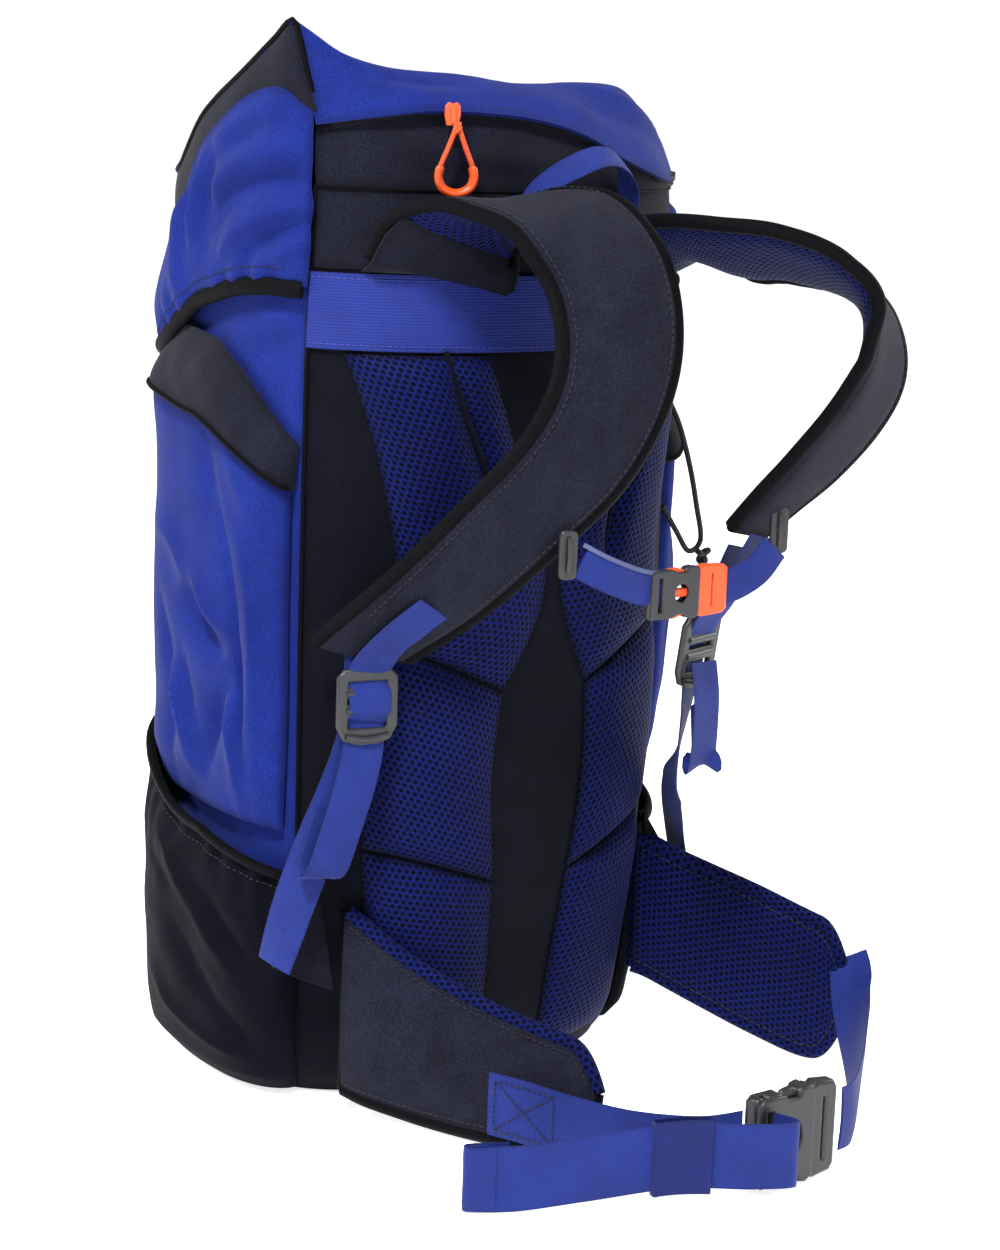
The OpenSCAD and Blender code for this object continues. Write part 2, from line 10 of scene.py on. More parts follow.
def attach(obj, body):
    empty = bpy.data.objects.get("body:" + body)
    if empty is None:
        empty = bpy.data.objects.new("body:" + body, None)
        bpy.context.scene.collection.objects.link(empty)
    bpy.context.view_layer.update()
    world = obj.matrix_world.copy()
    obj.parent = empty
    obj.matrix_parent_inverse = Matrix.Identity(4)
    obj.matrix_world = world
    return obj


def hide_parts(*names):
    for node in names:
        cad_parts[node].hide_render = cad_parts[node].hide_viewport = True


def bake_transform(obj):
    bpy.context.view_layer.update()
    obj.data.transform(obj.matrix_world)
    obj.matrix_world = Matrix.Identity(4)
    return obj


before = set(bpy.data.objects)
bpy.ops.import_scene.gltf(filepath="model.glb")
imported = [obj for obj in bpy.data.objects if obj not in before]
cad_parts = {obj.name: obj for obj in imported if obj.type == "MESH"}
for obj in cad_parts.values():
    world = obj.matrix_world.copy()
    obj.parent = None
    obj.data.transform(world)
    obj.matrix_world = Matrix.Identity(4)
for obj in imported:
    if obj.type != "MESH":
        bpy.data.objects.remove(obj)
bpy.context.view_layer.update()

MM = 0.001
scene = bpy.context.scene


# ---------------------------------------------------------------- camera
def make_camera():
    pos = Vector((-1.0157, -1.3790, 0.620))
    aim = Vector((0.0617, 0.0, 0.2637))
    roll = math.radians(2.03)
    forward = (aim - pos).normalized()
    right = forward.cross(Vector((0, 0, 1))).normalized()
    up = right.cross(forward)
    right, up = right * math.cos(roll) + up * math.sin(roll), up * math.cos(roll) - right * math.sin(roll)
    data = bpy.data.cameras.new("camera")
    data.lens = 80.4
    data.sensor_width = 36
    cam = bpy.data.objects.new("camera", data)
    m = Matrix((right, up, -forward)).transposed().to_4x4()
    m.translation = pos
    cam.matrix_world = m
    scene.collection.objects.link(cam)
    scene.camera = cam


make_camera()


# ---------------------------------------------------------------- curves and noise
def cr(points, k):
    """Catmull-Rom through points, k steps for each span."""
    p = np.asarray(points, float)
    n = len(p)
    out = []
    for i in range(n - 1):
        a, b, c, d = p[max(i - 1, 0)], p[i], p[i + 1], p[min(i + 2, n - 1)]
        for t in np.arange(k) / k:
            out.append(0.5 * (2 * b + (c - a) * t + (2 * a - 5 * b + 4 * c - d) * t * t
                              + (3 * b - a - 3 * c + d) * t ** 3))
    out.append(p[-1])
    return np.array(out)


def resample(points, n, smooth=True):
    """n points evenly spaced along a smooth curve through points."""
    q = cr(points, 12) if smooth and len(points) > 2 else np.asarray(points, float)
    s = np.r_[0, np.cumsum(np.linalg.norm(np.diff(q, axis=0), axis=1))]
    t = np.linspace(0, s[-1], n)
    return np.stack([np.interp(t, s, q[:, i]) for i in range(q.shape[1])], 1)


def unit(v):
    return v / np.maximum(np.linalg.norm(v, axis=-1, keepdims=True), 1e-9)


LATTICE = {}


def noise(P, size, seed=1):
    """Smooth value noise from -1 to 1 with features of that size."""
    if seed not in LATTICE:
        LATTICE[seed] = np.random.RandomState(seed).uniform(-1, 1, (32, 32, 32))
    g = LATTICE[seed]
    q = np.asarray(P, float) / size + 100.0
    i = np.floor(q).astype(int)
    f = q - i
    f = f * f * (3 - 2 * f)
    out = 0
    for dx in (0, 1):
        for dy in (0, 1):
            for dz in (0, 1):
                w = ((f[..., 0] if dx else 1 - f[..., 0]) * (f[..., 1] if dy else 1 - f[..., 1])
                     * (f[..., 2] if dz else 1 - f[..., 2]))
                out = out + w * g[(i[..., 0] + dx) % 32, (i[..., 1] + dy) % 32, (i[..., 2] + dz) % 32]
    return out


def creases(P, folds):
    """Offset field of folds, each (points, width, depth); it fades at a fold's ends."""
    total = np.zeros(P.shape[:-1])
    for pts, width, depth in folds:
        q = cr(pts, 6) if len(pts) > 2 else np.asarray(pts, float)
        seg = np.linalg.norm(np.diff(q, axis=0), axis=1)
        run = np.r_[0, np.cumsum(seg)]
        best = np.full(P.shape[:-1], 1e9)
        where = np.zeros(P.shape[:-1])
        for a, b, s0, ln in zip(q[:-1], q[1:], run[:-1], seg):
            t = np.clip(((P - a) @ (b - a)) / max(ln * ln, 1e-9), 0, 1)
            d = np.linalg.norm(P - (a + t[..., None] * (b - a)), axis=-1)
            near = d < best
            best = np.where(near, d, best)
            where = np.where(near, s0 + t * ln, where)
        fade = np.sin(np.pi * np.clip(where / run[-1], 0.02, 0.98)) ** 0.6
        total += 1.25 * depth * fade * np.exp(-(best / width) ** 1.4)
    return total


# ---------------------------------------------------------------- body surface
def table(pairs):
    z = np.arange(-40, 700, 2.0)
    v = np.interp(z, [p[0] for p in pairs], [p[1] for p in pairs])
    k = np.exp(-(np.arange(-9, 10) / 3.5) ** 2)
    pad = np.r_[np.full(9, v[0]), v, np.full(9, v[-1])]
    smooth = np.convolve(pad, k / k.sum(), "valid")
    return lambda q: np.interp(q, z, smooth)


half_w = table([[0, 128], [12, 136], [40, 140], [150, 146], [300, 150], [450, 150], [500, 147], [600, 142]])
back_d = table([[0, 80], [12, 94], [40, 102], [150, 118], [300, 126], [450, 127], [545, 124], [600, 116]])
front_d = table([[0, 92], [12, 98], [40, 102], [150, 106], [450, 104], [600, 98]])
BACK_N, FRONT_N = 2.25, 3.2
SEAM_A, SEAM_B = 208, 150


def at(u, z, o=0.0):
    """Point on the body: u runs round the section, 270 at the back's middle; o is the offset outward."""
    u, z, o = np.broadcast_arrays(np.asarray(u, float), np.asarray(z, float), np.asarray(o, float))
    c, s = np.cos(np.radians(u)), np.sin(np.radians(u))
    n = np.where(s < 0, BACK_N, FRONT_N)
    a = half_w(z) + o
    b = np.where(s < 0, back_d(z), front_d(z)) + o
    return np.stack([a * np.sign(c) * np.abs(c) ** (2 / n), b * np.sign(s) * np.abs(s) ** (2 / n), z], -1)


def ub(x, z):
    return 360 - np.degrees(np.arccos(np.sign(x) * (np.abs(x) / half_w(z)) ** (BACK_N / 2)))


def uf(x, z):
    return np.degrees(np.arccos(np.sign(x) * (np.abs(x) / half_w(z)) ** (FRONT_N / 2)))


def flip_u(rows):
    return [[[180 - q[0], q[1]] for q in reversed(r)] for r in rows]


# ---------------------------------------------------------------- mesh making
def normals(P, wrap=False):
    if wrap:
        du = np.roll(P, -1, 1) - np.roll(P, 1, 1)
    else:
        du = np.gradient(P, axis=1)
    return unit(np.cross(du, np.gradient(P, axis=0)))


def make_mesh(name, verts, faces, uv=None, edge=None, sharp=48):
    me = bpy.data.meshes.new(name)
    me.from_pydata((np.asarray(verts) * MM).tolist(), [], [list(map(int, f)) for f in faces])
    me.polygons.foreach_set("use_smooth", np.ones(len(me.polygons), bool))
    if uv is not None:
        index = np.zeros(len(me.loops), int)
        me.loops.foreach_get("vertex_index", index)
        layer = me.uv_layers.new(name="UVMap")
        layer.data.foreach_set("uv", (np.asarray(uv)[index] * MM).astype(np.float32).ravel())
    e = me.attributes.new("edge", "FLOAT", "POINT")
    e.data.foreach_set("value", (np.full(len(verts), 50.0) if edge is None else edge).astype(np.float32))
    me.set_sharp_from_angle(angle=math.radians(sharp))
    me.update()
    return me


def piece(name, me, material, body, hides=()):
    ob = bpy.data.objects.new(name, me)
    scene.collection.objects.link(ob)
    me.materials.append(material)
    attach(ob, body)
    if hides:
        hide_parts(*([hides] if isinstance(hides, str) else hides))
    return ob


def grid_parts(P, t, wrap=False, N=None):
    """Closed shell of thickness t under the outer grid P: vertices, faces, uv and distance to the edge."""
    r, c = P.shape[:2]
    N = normals(P, wrap) if N is None else N
    Q = P - N * (t[..., None] if isinstance(t, np.ndarray) else t)
    verts = np.concatenate([P.reshape(-1, 3), Q.reshape(-1, 3)])
    du = np.linalg.norm(np.diff(P, axis=1), axis=2)
    dv = np.linalg.norm(np.diff(P, axis=0), axis=2)
    s = np.concatenate([np.zeros((r, 1)), np.cumsum(du, 1)], 1)
    v = np.concatenate([np.zeros((1, c)), np.cumsum(dv, 0)], 0)
    dist = np.minimum(v, v[-1:] - v) if wrap else np.minimum(np.minimum(s, s[:, -1:] - s),
            np.minimum(v, v[-1:] - v))
    s = s - s[:, c // 2:c // 2 + 1]
    v = v - v[r // 2:r // 2 + 1]
    uv = np.stack([s, v], -1).reshape(-1, 2)
    k = r * c
    cols = c if wrap else c - 1
    i, j = np.meshgrid(np.arange(r - 1), np.arange(cols), indexing="ij")
    a = (i * c + j).ravel()
    b = (i * c + (j + 1) % c).ravel()
    f = [np.stack([a, b, b + c, a + c], 1), np.stack([a, a + c, b + c, b], 1) + k]
    j = np.arange(cols)
    lo, ln = j, (j + 1) % c
    f.append(np.stack([lo, lo + k, ln + k, ln], 1))
    e = (r - 1) * c
    f.append(np.stack([e + lo, e + ln, e + ln + k, e + lo + k], 1))
    if not wrap:
        i = np.arange(r - 1) * c
        f.append(np.stack([i, i + c, i + c + k, i + k], 1))
        i = i + c - 1
        f.append(np.stack([i, i + k, i + c + k, i + c], 1))
    return verts, np.concatenate(f), np.concatenate([uv, uv]), np.tile(dist.ravel(), 2)


def shell(name, P, t, material, body, hides=(), wrap=False, N=None):
    v, f, uv, d = grid_parts(P, t, wrap, N)
    return piece(name, make_mesh(name, v, f, uv, d), material, body, hides)


def tube_parts(path, radius, sides=10, squash=1.0, up=None):
    """Swept tube with closed ends."""
    p = np.asarray(path, float)
    n = len(p)
    t = unit(np.gradient(p, axis=0))
    rad = np.broadcast_to(np.asarray(radius, float), (n,))
    a = np.array([0, 0, 1.0]) if abs(t[0][2]) < 0.9 else np.array([1.0, 0, 0])
    if up is not None:
        a = np.asarray(up, float)
    rings = []
    for k in range(n):
        a = a - t[k] * (a @ t[k])
        a = a / np.linalg.norm(a)
        b = np.cross(t[k], a)
        ang = 2 * np.pi * np.arange(sides) / sides
        rings.append(p[k] + rad[k] * (np.outer(np.cos(ang), a) * squash + np.outer(np.sin(ang), b)))
    verts = np.concatenate(rings)
    s = np.r_[0, np.cumsum(np.linalg.norm(np.diff(p, axis=0), axis=1))]
    arc = 2 * np.pi * rad.mean() * np.arange(sides) / sides
    uv = np.stack([np.tile(arc, n), np.repeat(s, sides)], 1)
    faces = []
    for k in range(n - 1):
        for j in range(sides):
            j2 = (j + 1) % sides
            faces.append([k * sides + j, k * sides + j2, (k + 1) * sides + j2, (k + 1) * sides + j])
    faces.append(list(range(sides))[::-1])
    faces.append([(n - 1) * sides + j for j in range(sides)])
    return verts, faces, uv, np.full(len(verts), 50.0)


def join_parts(parts):
    verts, faces, uvs, ds, base = [], [], [], [], 0
    for v, f, uv, d in parts:
        verts.append(v)
        uvs.append(uv)
        ds.append(d)
        faces.extend([[int(x) + base for x in q] for q in f])
        base += len(v)
    return np.concatenate(verts), faces, np.concatenate(uvs), np.concatenate(ds)


def parts_piece(name, parts, material, body, hides=(), sharp=48):
    v, f, uv, d = join_parts(parts)
    return piece(name, make_mesh(name, v, f, uv, d, sharp), material, body, hides)


def tube(name, path, radius, material, body, hides=(), sides=10, squash=1.0):
    return parts_piece(name, [tube_parts(path, radius, sides, squash)], material, body, hides)


def strap_parts(path, wdir, width, th, n=None, camber=0.0, up_fixed=False, cols=8, round_=0.45):
    """Flat webbing along a path: a rounded flat section with its own thickness."""
    n = n or max(12, int(len(path) * 8))
    raw = np.asarray(path, float)
    w = np.asarray([wdir] * len(raw) if np.ndim(wdir[0]) == 0 else wdir, float)
    b = np.asarray([width] * len(raw) if np.ndim(width) == 0 else width, float)
    q = cr(np.concatenate([raw, w, b[:, None]], 1), 12)
    s = np.r_[0, np.cumsum(np.linalg.norm(np.diff(q[:, :3], axis=0), axis=1))]
    tt = np.linspace(0, s[-1], n)
    q = np.stack([np.interp(tt, s, q[:, i]) for i in range(7)], 1)
    p, w, b = q[:, :3], q[:, 3:6], q[:, 6]
    t = np.gradient(p, axis=0)
    if up_fixed:
        t[:, 2] = 0
    t = unit(t)
    w = unit(w - t * (w * t).sum(1, keepdims=True))
    nd = np.cross(t, w)
    x = np.linspace(-1, 1, cols)
    prof = th / 2 * np.where(np.abs(x) > 0.999, round_, 1.0)
    bend = camber * (1 - x * x)
    ring_x = np.r_[x, x[::-1]]
    ring_y = np.r_[prof + bend, (-prof + bend)[::-1]]
    verts = (p[:, None] + w[:, None] * (ring_x[None, :, None] * b[:, None, None] / 2)
             + nd[:, None] * ring_y[None, :, None])
    m = 2 * cols
    uv = np.stack([np.broadcast_to(ring_x[None] * b[:, None] / 2, (n, m)),
                   np.broadcast_to(tt[:, None], (n, m))], -1)
    faces = []
    for k in range(n - 1):
        for j in range(m):
            j2 = (j + 1) % m
            faces.append([k * m + j, (k + 1) * m + j, (k + 1) * m + j2, k * m + j2])
    faces.append(list(range(m)))
    faces.append([(n - 1) * m + j for j in reversed(range(m))])
    edge = np.broadcast_to((1 - np.abs(ring_x))[None] * b[:, None] / 2, (n, m)).ravel()
    return verts.reshape(-1, 3), faces, uv.reshape(-1, 2), edge


def webbing(name, runs, material, body, hides=()):
    made = [strap_parts(*r) for r in runs]
    return parts_piece(name, made,
                       material, body, hides, sharp=60)


def stitch_parts(path, normal, length=3.0, gap=1.4, size=0.45, lift=0.1):
    """A row of thread stitches along a path that lies on a surface with these normals."""
    p = np.asarray(path, float)
    nrm = np.broadcast_to(np.asarray(normal, float), p.shape)
    s = np.r_[0, np.cumsum(np.linalg.norm(np.diff(p, axis=0), axis=1))]
    out = []
    for s0 in np.arange(0.5, s[-1] - length, length + gap):
        ends = []
        for q in (s0, s0 + length):
            ends.append(np.array([np.interp(q, s, p[:, i]) for i in range(3)]))
        nn = np.array([np.interp(s0, s, nrm[:, i]) for i in range(3)])
        nn /= max(np.linalg.norm(nn), 1e-9)
        t = ends[1] - ends[0]
        t /= max(np.linalg.norm(t), 1e-9)
        b = np.cross(nn, t)
        ring = []
        for f, w, h in ((0.0, 0.35, -0.4), (0.18, 1, 0.6), (0.82, 1, 0.6), (1.0, 0.35, -0.4)):
            c = ends[0] + (ends[1] - ends[0]) * f + nn * lift
            ring += [c + b * size * w, c + nn * size * (h + 0.5), c - b * size * w, c - nn * size * 0.6]
        f = []
        for k in range(3):
            for j in range(4):
                j2 = (j + 1) % 4
                f.append([k * 4 + j, (k + 1) * 4 + j, (k + 1) * 4 + j2, k * 4 + j2])
        f += [[0, 1, 2, 3], [15, 14, 13, 12]]
        ring = np.array(ring)
        out.append((ring, f, ring[:, :2], np.full(16, 50.0)))
    return out


def plate_mesh(outlines, thick, bevel, turn=None, shift=(0, 0, 0), segs=2):
    """Moulded plate: 2-D outlines in x and z (the first outside, the rest holes), rounded at its edges."""
    cu = bpy.data.curves.new("tmp", "CURVE")
    cu.dimensions = "2D"
    cu.fill_mode = "BOTH"
    cu.extrude = max(thick / 2 - bevel, 0.01) * MM
    cu.bevel_depth = bevel * MM
    cu.bevel_resolution = segs
    for line in outlines:
        sp = cu.splines.new("POLY")
        sp.points.add(len(line) - 1)
        for q, (x, z) in zip(sp.points, line):
            q.co = (x * MM, z * MM, 0, 1)
        sp.use_cyclic_u = True
    ob = bpy.data.objects.new("tmp", cu)
    scene.collection.objects.link(ob)
    bpy.context.view_layer.update()
    me = bpy.data.meshes.new_from_object(ob.evaluated_get(bpy.context.evaluated_depsgraph_get()))
    bpy.data.objects.remove(ob)
    bpy.data.curves.remove(cu)
    co = np.zeros(len(me.vertices) * 3)
    me.vertices.foreach_get("co", co)
    co = co.reshape(-1, 3) / MM
    co = np.stack([co[:, 0], -co[:, 2], co[:, 1]], 1)
    if turn is not None:
        co = co @ np.array(turn.to_3x3()).T
    co = co + np.array(shift)
    faces = [list(p.vertices) for p in me.polygons]
    bpy.data.meshes.remove(me)
    return co, faces, np.stack([co[:, 0] + co[:, 1], co[:, 2]], 1), np.full(len(co), 50.0)


def rounded(x0, x1, z0, z1, r, k=5):
    """Rounded rectangle outline."""
    out = []
    for cx, cz, a0 in ((x1 - r, z1 - r, 0), (x0 + r, z1 - r, 90), (x0 + r, z0 + r, 180),
                       (x1 - r, z0 + r, 270)):
        for i in range(k + 1):
            a = math.radians(a0 + 90 * i / k)
            out.append((cx + r * math.cos(a), cz + r * math.sin(a)))
    return out


# ---------------------------------------------------------------- materials
class Tree:
    def __init__(self, name):
        self.m = bpy.data.materials.new(name)
        self.m.use_nodes = True
        self.t = self.m.node_tree
        self.bsdf = self.t.nodes["Principled BSDF"]

    def node(self, kind, inputs=(), **props):
        n = self.t.nodes.new(kind)
        for k, v in props.items():
            setattr(n, k, v)
        for k, v in dict(inputs).items():
            if isinstance(v, bpy.types.NodeSocket):
                self.t.links.new(v, n.inputs[k])
            else:
                n.inputs[k].default_value = v
        return n

    def math(self, op, a, b=None, c=None):
        ins = {0: a}
        if b is not None:
            ins[1] = b
        if c is not None:
            ins[2] = c
        return self.node("ShaderNodeMath", ins, operation=op).outputs[0]

    def mix(self, f, a, b, blend="MIX"):
        n = self.node("ShaderNodeMix", data_type="RGBA", blend_type=blend)
        for k, v in ((0, f), (6, a), (7, b)):
            if isinstance(v, bpy.types.NodeSocket):
                self.t.links.new(v, n.inputs[k])
            else:
                n.inputs[k].default_value = v
        return n.outputs[2]

    def ramp(self, v, a, b, lo=0.0, hi=1.0):
        return self.node("ShaderNodeMapRange", {0: v, 1: a, 2: b, 3: lo, 4: hi},
                         interpolation_type="SMOOTHSTEP").outputs[0]

    def noise(self, scale, detail=2.0, rough=0.5, stretch=None):
        co = self.node("ShaderNodeTexCoord").outputs["Object"]
        if stretch:
            co = self.node("ShaderNodeMapping", {0: co, 3: stretch}).outputs[0]
        return self.node("ShaderNodeTexNoise",
                         {"Vector": co, "Scale": scale, "Detail": detail, "Roughness": rough}).outputs[0]

    def uv(self):
        s = self.node("ShaderNodeSeparateXYZ", {0: self.node("ShaderNodeUVMap", uv_map="UVMap").outputs[0]})
        return s.outputs[0], s.outputs[1]

    def wave(self, v, pitch_mm, phase=0.0):
        return self.math("SINE", self.math("MULTIPLY_ADD", v, 2 * math.pi / (pitch_mm * MM), phase))

    def out(self, colour, rough, height=None, strength=0.4, distance=0.4):
        self.t.links.new(colour, self.bsdf.inputs["Base Color"])
        self.t.links.new(rough, self.bsdf.inputs["Roughness"])
        if height is not None:
            b = self.node("ShaderNodeBump", {"Strength": strength, "Distance": distance * MM,
                                             "Height": height})
            self.t.links.new(b.outputs[0], self.bsdf.inputs["Normal"])
        return self.m


def rgb(r, g, b):
    def lin(c):
        c /= 255
        return c / 12.92 if c <= 0.04045 else ((c + 0.055) / 1.055) ** 2.4
    return (lin(r), lin(g), lin(b), 1)


def cloth_mat(name, dark, light, pitch=0.9, sheen=0.06, rough=0.8, seam=0.45, bump=0.4, spec=0.12,
              grainy=0.55):
    """Woven fabric: plain weave, uneven dye, darker within 7 mm of a piece's edges."""
    t = Tree(name)
    u, v = t.uv()
    weave = t.math("MULTIPLY", t.wave(u, pitch), t.wave(v, pitch))
    grain = t.noise(820, 2.0, 0.7)
    blot = t.noise(14, 3.0, 0.6)
    fade = t.noise(55, 2.0, 0.5)
    edge = t.node("ShaderNodeAttribute", attribute_name="edge").outputs["Fac"]
    near = t.ramp(edge, 0.0, 7.0, 1.0, 0.0)
    colour = t.mix(t.ramp(t.math("MULTIPLY_ADD", blot, 0.6, t.math("MULTIPLY", fade, 0.4)), 0.1, 0.9),
                   dark, light)
    colour = t.mix(t.math("MULTIPLY", near, seam), colour, tuple(c * 0.45 for c in dark[:3]) + (1,))
    thread = t.math("MULTIPLY_ADD", weave, 0.12,
                    t.math("MULTIPLY_ADD", t.ramp(grain, 0.3, 0.7), grainy, 1 - grainy / 2))
    colour = t.mix(1.0, colour, t.node("ShaderNodeCombineColor", {0: thread, 1: thread,
            2: thread}).outputs[0], "MULTIPLY")
    r = t.math("MULTIPLY_ADD", grain, 0.2, rough - 0.1)
    h = t.math("MULTIPLY_ADD", weave, 0.5, t.math("MULTIPLY", grain, 0.9))
    t.bsdf.inputs["Sheen Weight"].default_value = sheen
    t.bsdf.inputs["Sheen Roughness"].default_value = 0.45
    t.bsdf.inputs["Specular IOR Level"].default_value = spec
    return t.out(colour, r, h, bump, 0.25)


def mesh_mat(name, hole, dark, light, pitch=4.3):
    """Spacer mesh: a honeycomb of holes between raised threads; the holes' near-black colour is painted shade, and the
    threads darken into it as painted shade on their sides. Within 5 mm of a piece's edge the colour is also darkened
    toward the hole colour.
    """
    t = Tree(name)
    u, v = t.uv()
    k = 4 * math.pi / (math.sqrt(3) * pitch * MM)
    third = math.sqrt(3) / 2
    a = t.math("COSINE", t.math("MULTIPLY", v, k))
    p = t.math("MULTIPLY_ADD", u, third * k, t.math("MULTIPLY", v, -0.5 * k))
    q = t.math("MULTIPLY_ADD", u, -third * k, t.math("MULTIPLY", v, -0.5 * k))
    f = t.math("ADD", a, t.math("ADD", t.math("COSINE", p), t.math("COSINE", q)))
    mask = t.ramp(f, -0.8, 1.7)
    blot = t.noise(16, 3.0, 0.6)
    grain = t.noise(1600, 2.0, 0.6)
    edge = t.node("ShaderNodeAttribute", attribute_name="edge").outputs["Fac"]
    near = t.ramp(edge, 0.0, 5.0, 0.75, 0.0)
    thread = t.mix(t.ramp(t.math("MULTIPLY_ADD", grain, 0.5, t.math("MULTIPLY", blot, 0.5)), 0.3, 0.7),
                   dark, light)
    # painted shade: the hole colour fills the holes and, over a wide ramp, the threads' sides as they dip into them
    colour = t.mix(mask, thread, hole)
    colour = t.mix(near, colour, hole)
    r = t.math("MULTIPLY_ADD", mask, 0.25, 0.6)
    h = t.math("MULTIPLY_ADD", grain, 0.15, t.math("SUBTRACT", 1.0, mask))
    t.bsdf.inputs["Sheen Weight"].default_value = 0.02
    t.bsdf.inputs["Specular IOR Level"].default_value = 0.06
    return t.out(colour, r, h, 0.8, 0.9)


def web_mat(name, dark, light, rib=1.5, cross=0.9, bump=0.55, rough=0.6, slant=0.6, sheen=0.05,
            spec=0.16):
    """Woven tape: ribs across its length, a herringbone and a tight selvedge."""
    t = Tree(name)
    u, v = t.uv()
    chev = t.math("MULTIPLY_ADD", t.math("ABSOLUTE", u), slant, v)
    ribs = t.wave(chev, rib)
    fine = t.wave(u, cross)
    grain = t.noise(1500, 2.0, 0.6)
    blot = t.noise(30, 2.0, 0.6)
    edge = t.node("ShaderNodeAttribute", attribute_name="edge").outputs["Fac"]
    near = t.ramp(edge, 0.2, 1.8, 1.0, 0.0)
    colour = t.mix(t.ramp(blot, 0.1, 0.9), dark, light)
    level = t.math("MULTIPLY_ADD", ribs, 0.13,
                   t.math("MULTIPLY_ADD", fine, 0.06, t.math("MULTIPLY_ADD", grain, 0.5, 0.75)))
    colour = t.mix(1.0, colour, t.node("ShaderNodeCombineColor", {0: level, 1: level,
            2: level}).outputs[0], "MULTIPLY")
    colour = t.mix(t.math("MULTIPLY", near, 0.35), colour, tuple(c * 0.5 for c in dark[:3]) + (1,))
    r = t.math("MULTIPLY_ADD", grain, 0.2, rough - 0.1)
    h = t.math("MULTIPLY_ADD", ribs, 0.6, t.math("MULTIPLY_ADD", fine, 0.25, grain))
    t.bsdf.inputs["Sheen Weight"].default_value = sheen
    t.bsdf.inputs["Specular IOR Level"].default_value = spec
    return t.out(colour, r, h, bump, 0.35)


def plastic_mat(name, dark, light, rough=0.42, bump=0.25, metal=0.0):
    """Moulded plastic: fine spark texture, scuffs and a little colour drift."""
    t = Tree(name)
    grain = t.noise(2200, 2.0, 0.7)
    blot = t.noise(60, 3.0, 0.6)
    scuff = t.ramp(t.noise(420, 4.0, 0.7, (1.0, 0.25, 1.0)), 0.62, 0.75)
    colour = t.mix(blot, dark, light)
    colour = t.mix(t.math("MULTIPLY", scuff, 0.25), colour,
                   tuple(min(1, c * 1.8 + 0.02) for c in light[:3]) + (1,))
    r = t.math("MULTIPLY_ADD", blot, 0.16, t.math("MULTIPLY_ADD", scuff, 0.2, rough - 0.08))
    t.bsdf.inputs["Metallic"].default_value = metal
    return t.out(colour, r, grain, bump, 0.12)


def cord_mat(name, dark, light, pitch=2.2):
    """Braided cord: crossing spiral ribs."""
    t = Tree(name)
    u, v = t.uv()
    a = t.wave(t.math("MULTIPLY_ADD", u, 0.9, v), pitch)
    b = t.wave(t.math("MULTIPLY_ADD", u, -0.9, v), pitch)
    braid = t.math("MULTIPLY", a, b)
    grain = t.noise(1800, 2.0, 0.6)
    colour = t.mix(t.ramp(t.math("MULTIPLY_ADD", braid, 0.4, grain), 0.2, 0.9), dark, light)
    r = t.math("MULTIPLY_ADD", grain, 0.2, 0.5)
    return t.out(colour, r, t.math("MULTIPLY_ADD", braid, 0.8, grain), 0.6, 0.4)


BLUE = cloth_mat("fabric_blue", rgb(14, 27, 92), rgb(20, 38, 116), sheen=0.04, spec=0.1)
BLUE_DEEP = cloth_mat("fabric_blue_deep", rgb(16, 25, 88), rgb(21, 33, 106))
DARK = cloth_mat("fabric_dark", rgb(7, 7, 17), rgb(23, 24, 41), bump=0.7, spec=0.1, grainy=1.1)
BACK = cloth_mat("back_dark", rgb(3, 3, 11), rgb(10, 10, 23), grainy=1.0, sheen=0.03, spec=0.07)
PAD_DARK = cloth_mat("padding_dark", rgb(9, 9, 21), rgb(27, 28, 46), seam=0.3, bump=0.7, spec=0.1,
                     grainy=1.1)
STRETCH = cloth_mat("stretch_dark", rgb(3, 3, 10), rgb(8, 8, 21), grainy=1.0, pitch=1.4, bump=0.5,
                    sheen=0.02, spec=0.05)
COLLAR = cloth_mat("collar_cloth", rgb(18, 28, 100), rgb(28, 42, 130), pitch=2.6, rough=0.6, bump=0.3)
# painted shade: the mesh's thread colours are set darker than its own blue to give the shade the back pads sit in, and
# its hole colour is painted shade in the holes
MESH = mesh_mat("mesh_blue", rgb(1, 2, 13), rgb(5, 12, 60), rgb(8, 19, 82))
WEB = web_mat("webbing_blue", rgb(19, 34, 100), rgb(24, 42, 120))
WEB_WIDE = web_mat("webbing_band", rgb(21, 35, 106), rgb(26, 42, 122), rib=1.7, cross=1.2, bump=0.5,
                   slant=0.0)
KEEP = web_mat("keeper_web", rgb(13, 24, 78), rgb(18, 31, 96))
BIND = web_mat("binding_dark", rgb(2, 2, 5), rgb(4, 4, 8), rib=1.2, cross=1.0, spec=0.06, sheen=0.01)
TAPE = web_mat("zip_tape", rgb(6, 6, 10), rgb(10, 10, 16), rib=1.0, cross=0.8)
PLASTIC = plastic_mat("plastic_dark", rgb(28, 28, 31), rgb(42, 42, 45))
BLACK = plastic_mat("plastic_black", rgb(12, 12, 15), rgb(20, 20, 24), 0.38)
ORANGE = plastic_mat("plastic_orange", rgb(206, 66, 14), rgb(228, 86, 26), 0.38)
ORANGE_CORD = cord_mat("cord_orange", rgb(190, 58, 12), rgb(224, 88, 30))
CORD = cord_mat("cord_black", rgb(6, 6, 9), rgb(16, 16, 21))
ELASTIC = web_mat("elastic_light", rgb(74, 82, 122), rgb(98, 106, 146), rib=1.0)
THREAD = plastic_mat("thread_dark", rgb(7, 8, 16), rgb(12, 13, 24), 0.8)
THREAD_BLUE = plastic_mat("thread_blue", rgb(26, 40, 122), rgb(36, 52, 140), 0.6)
SHEET = plastic_mat("sheet_clear", rgb(150, 152, 158), rgb(178, 180, 184), 0.3)
METAL = plastic_mat("stay_metal", rgb(150, 152, 156), rgb(176, 178, 182), 0.32, 0.2, 1.0)


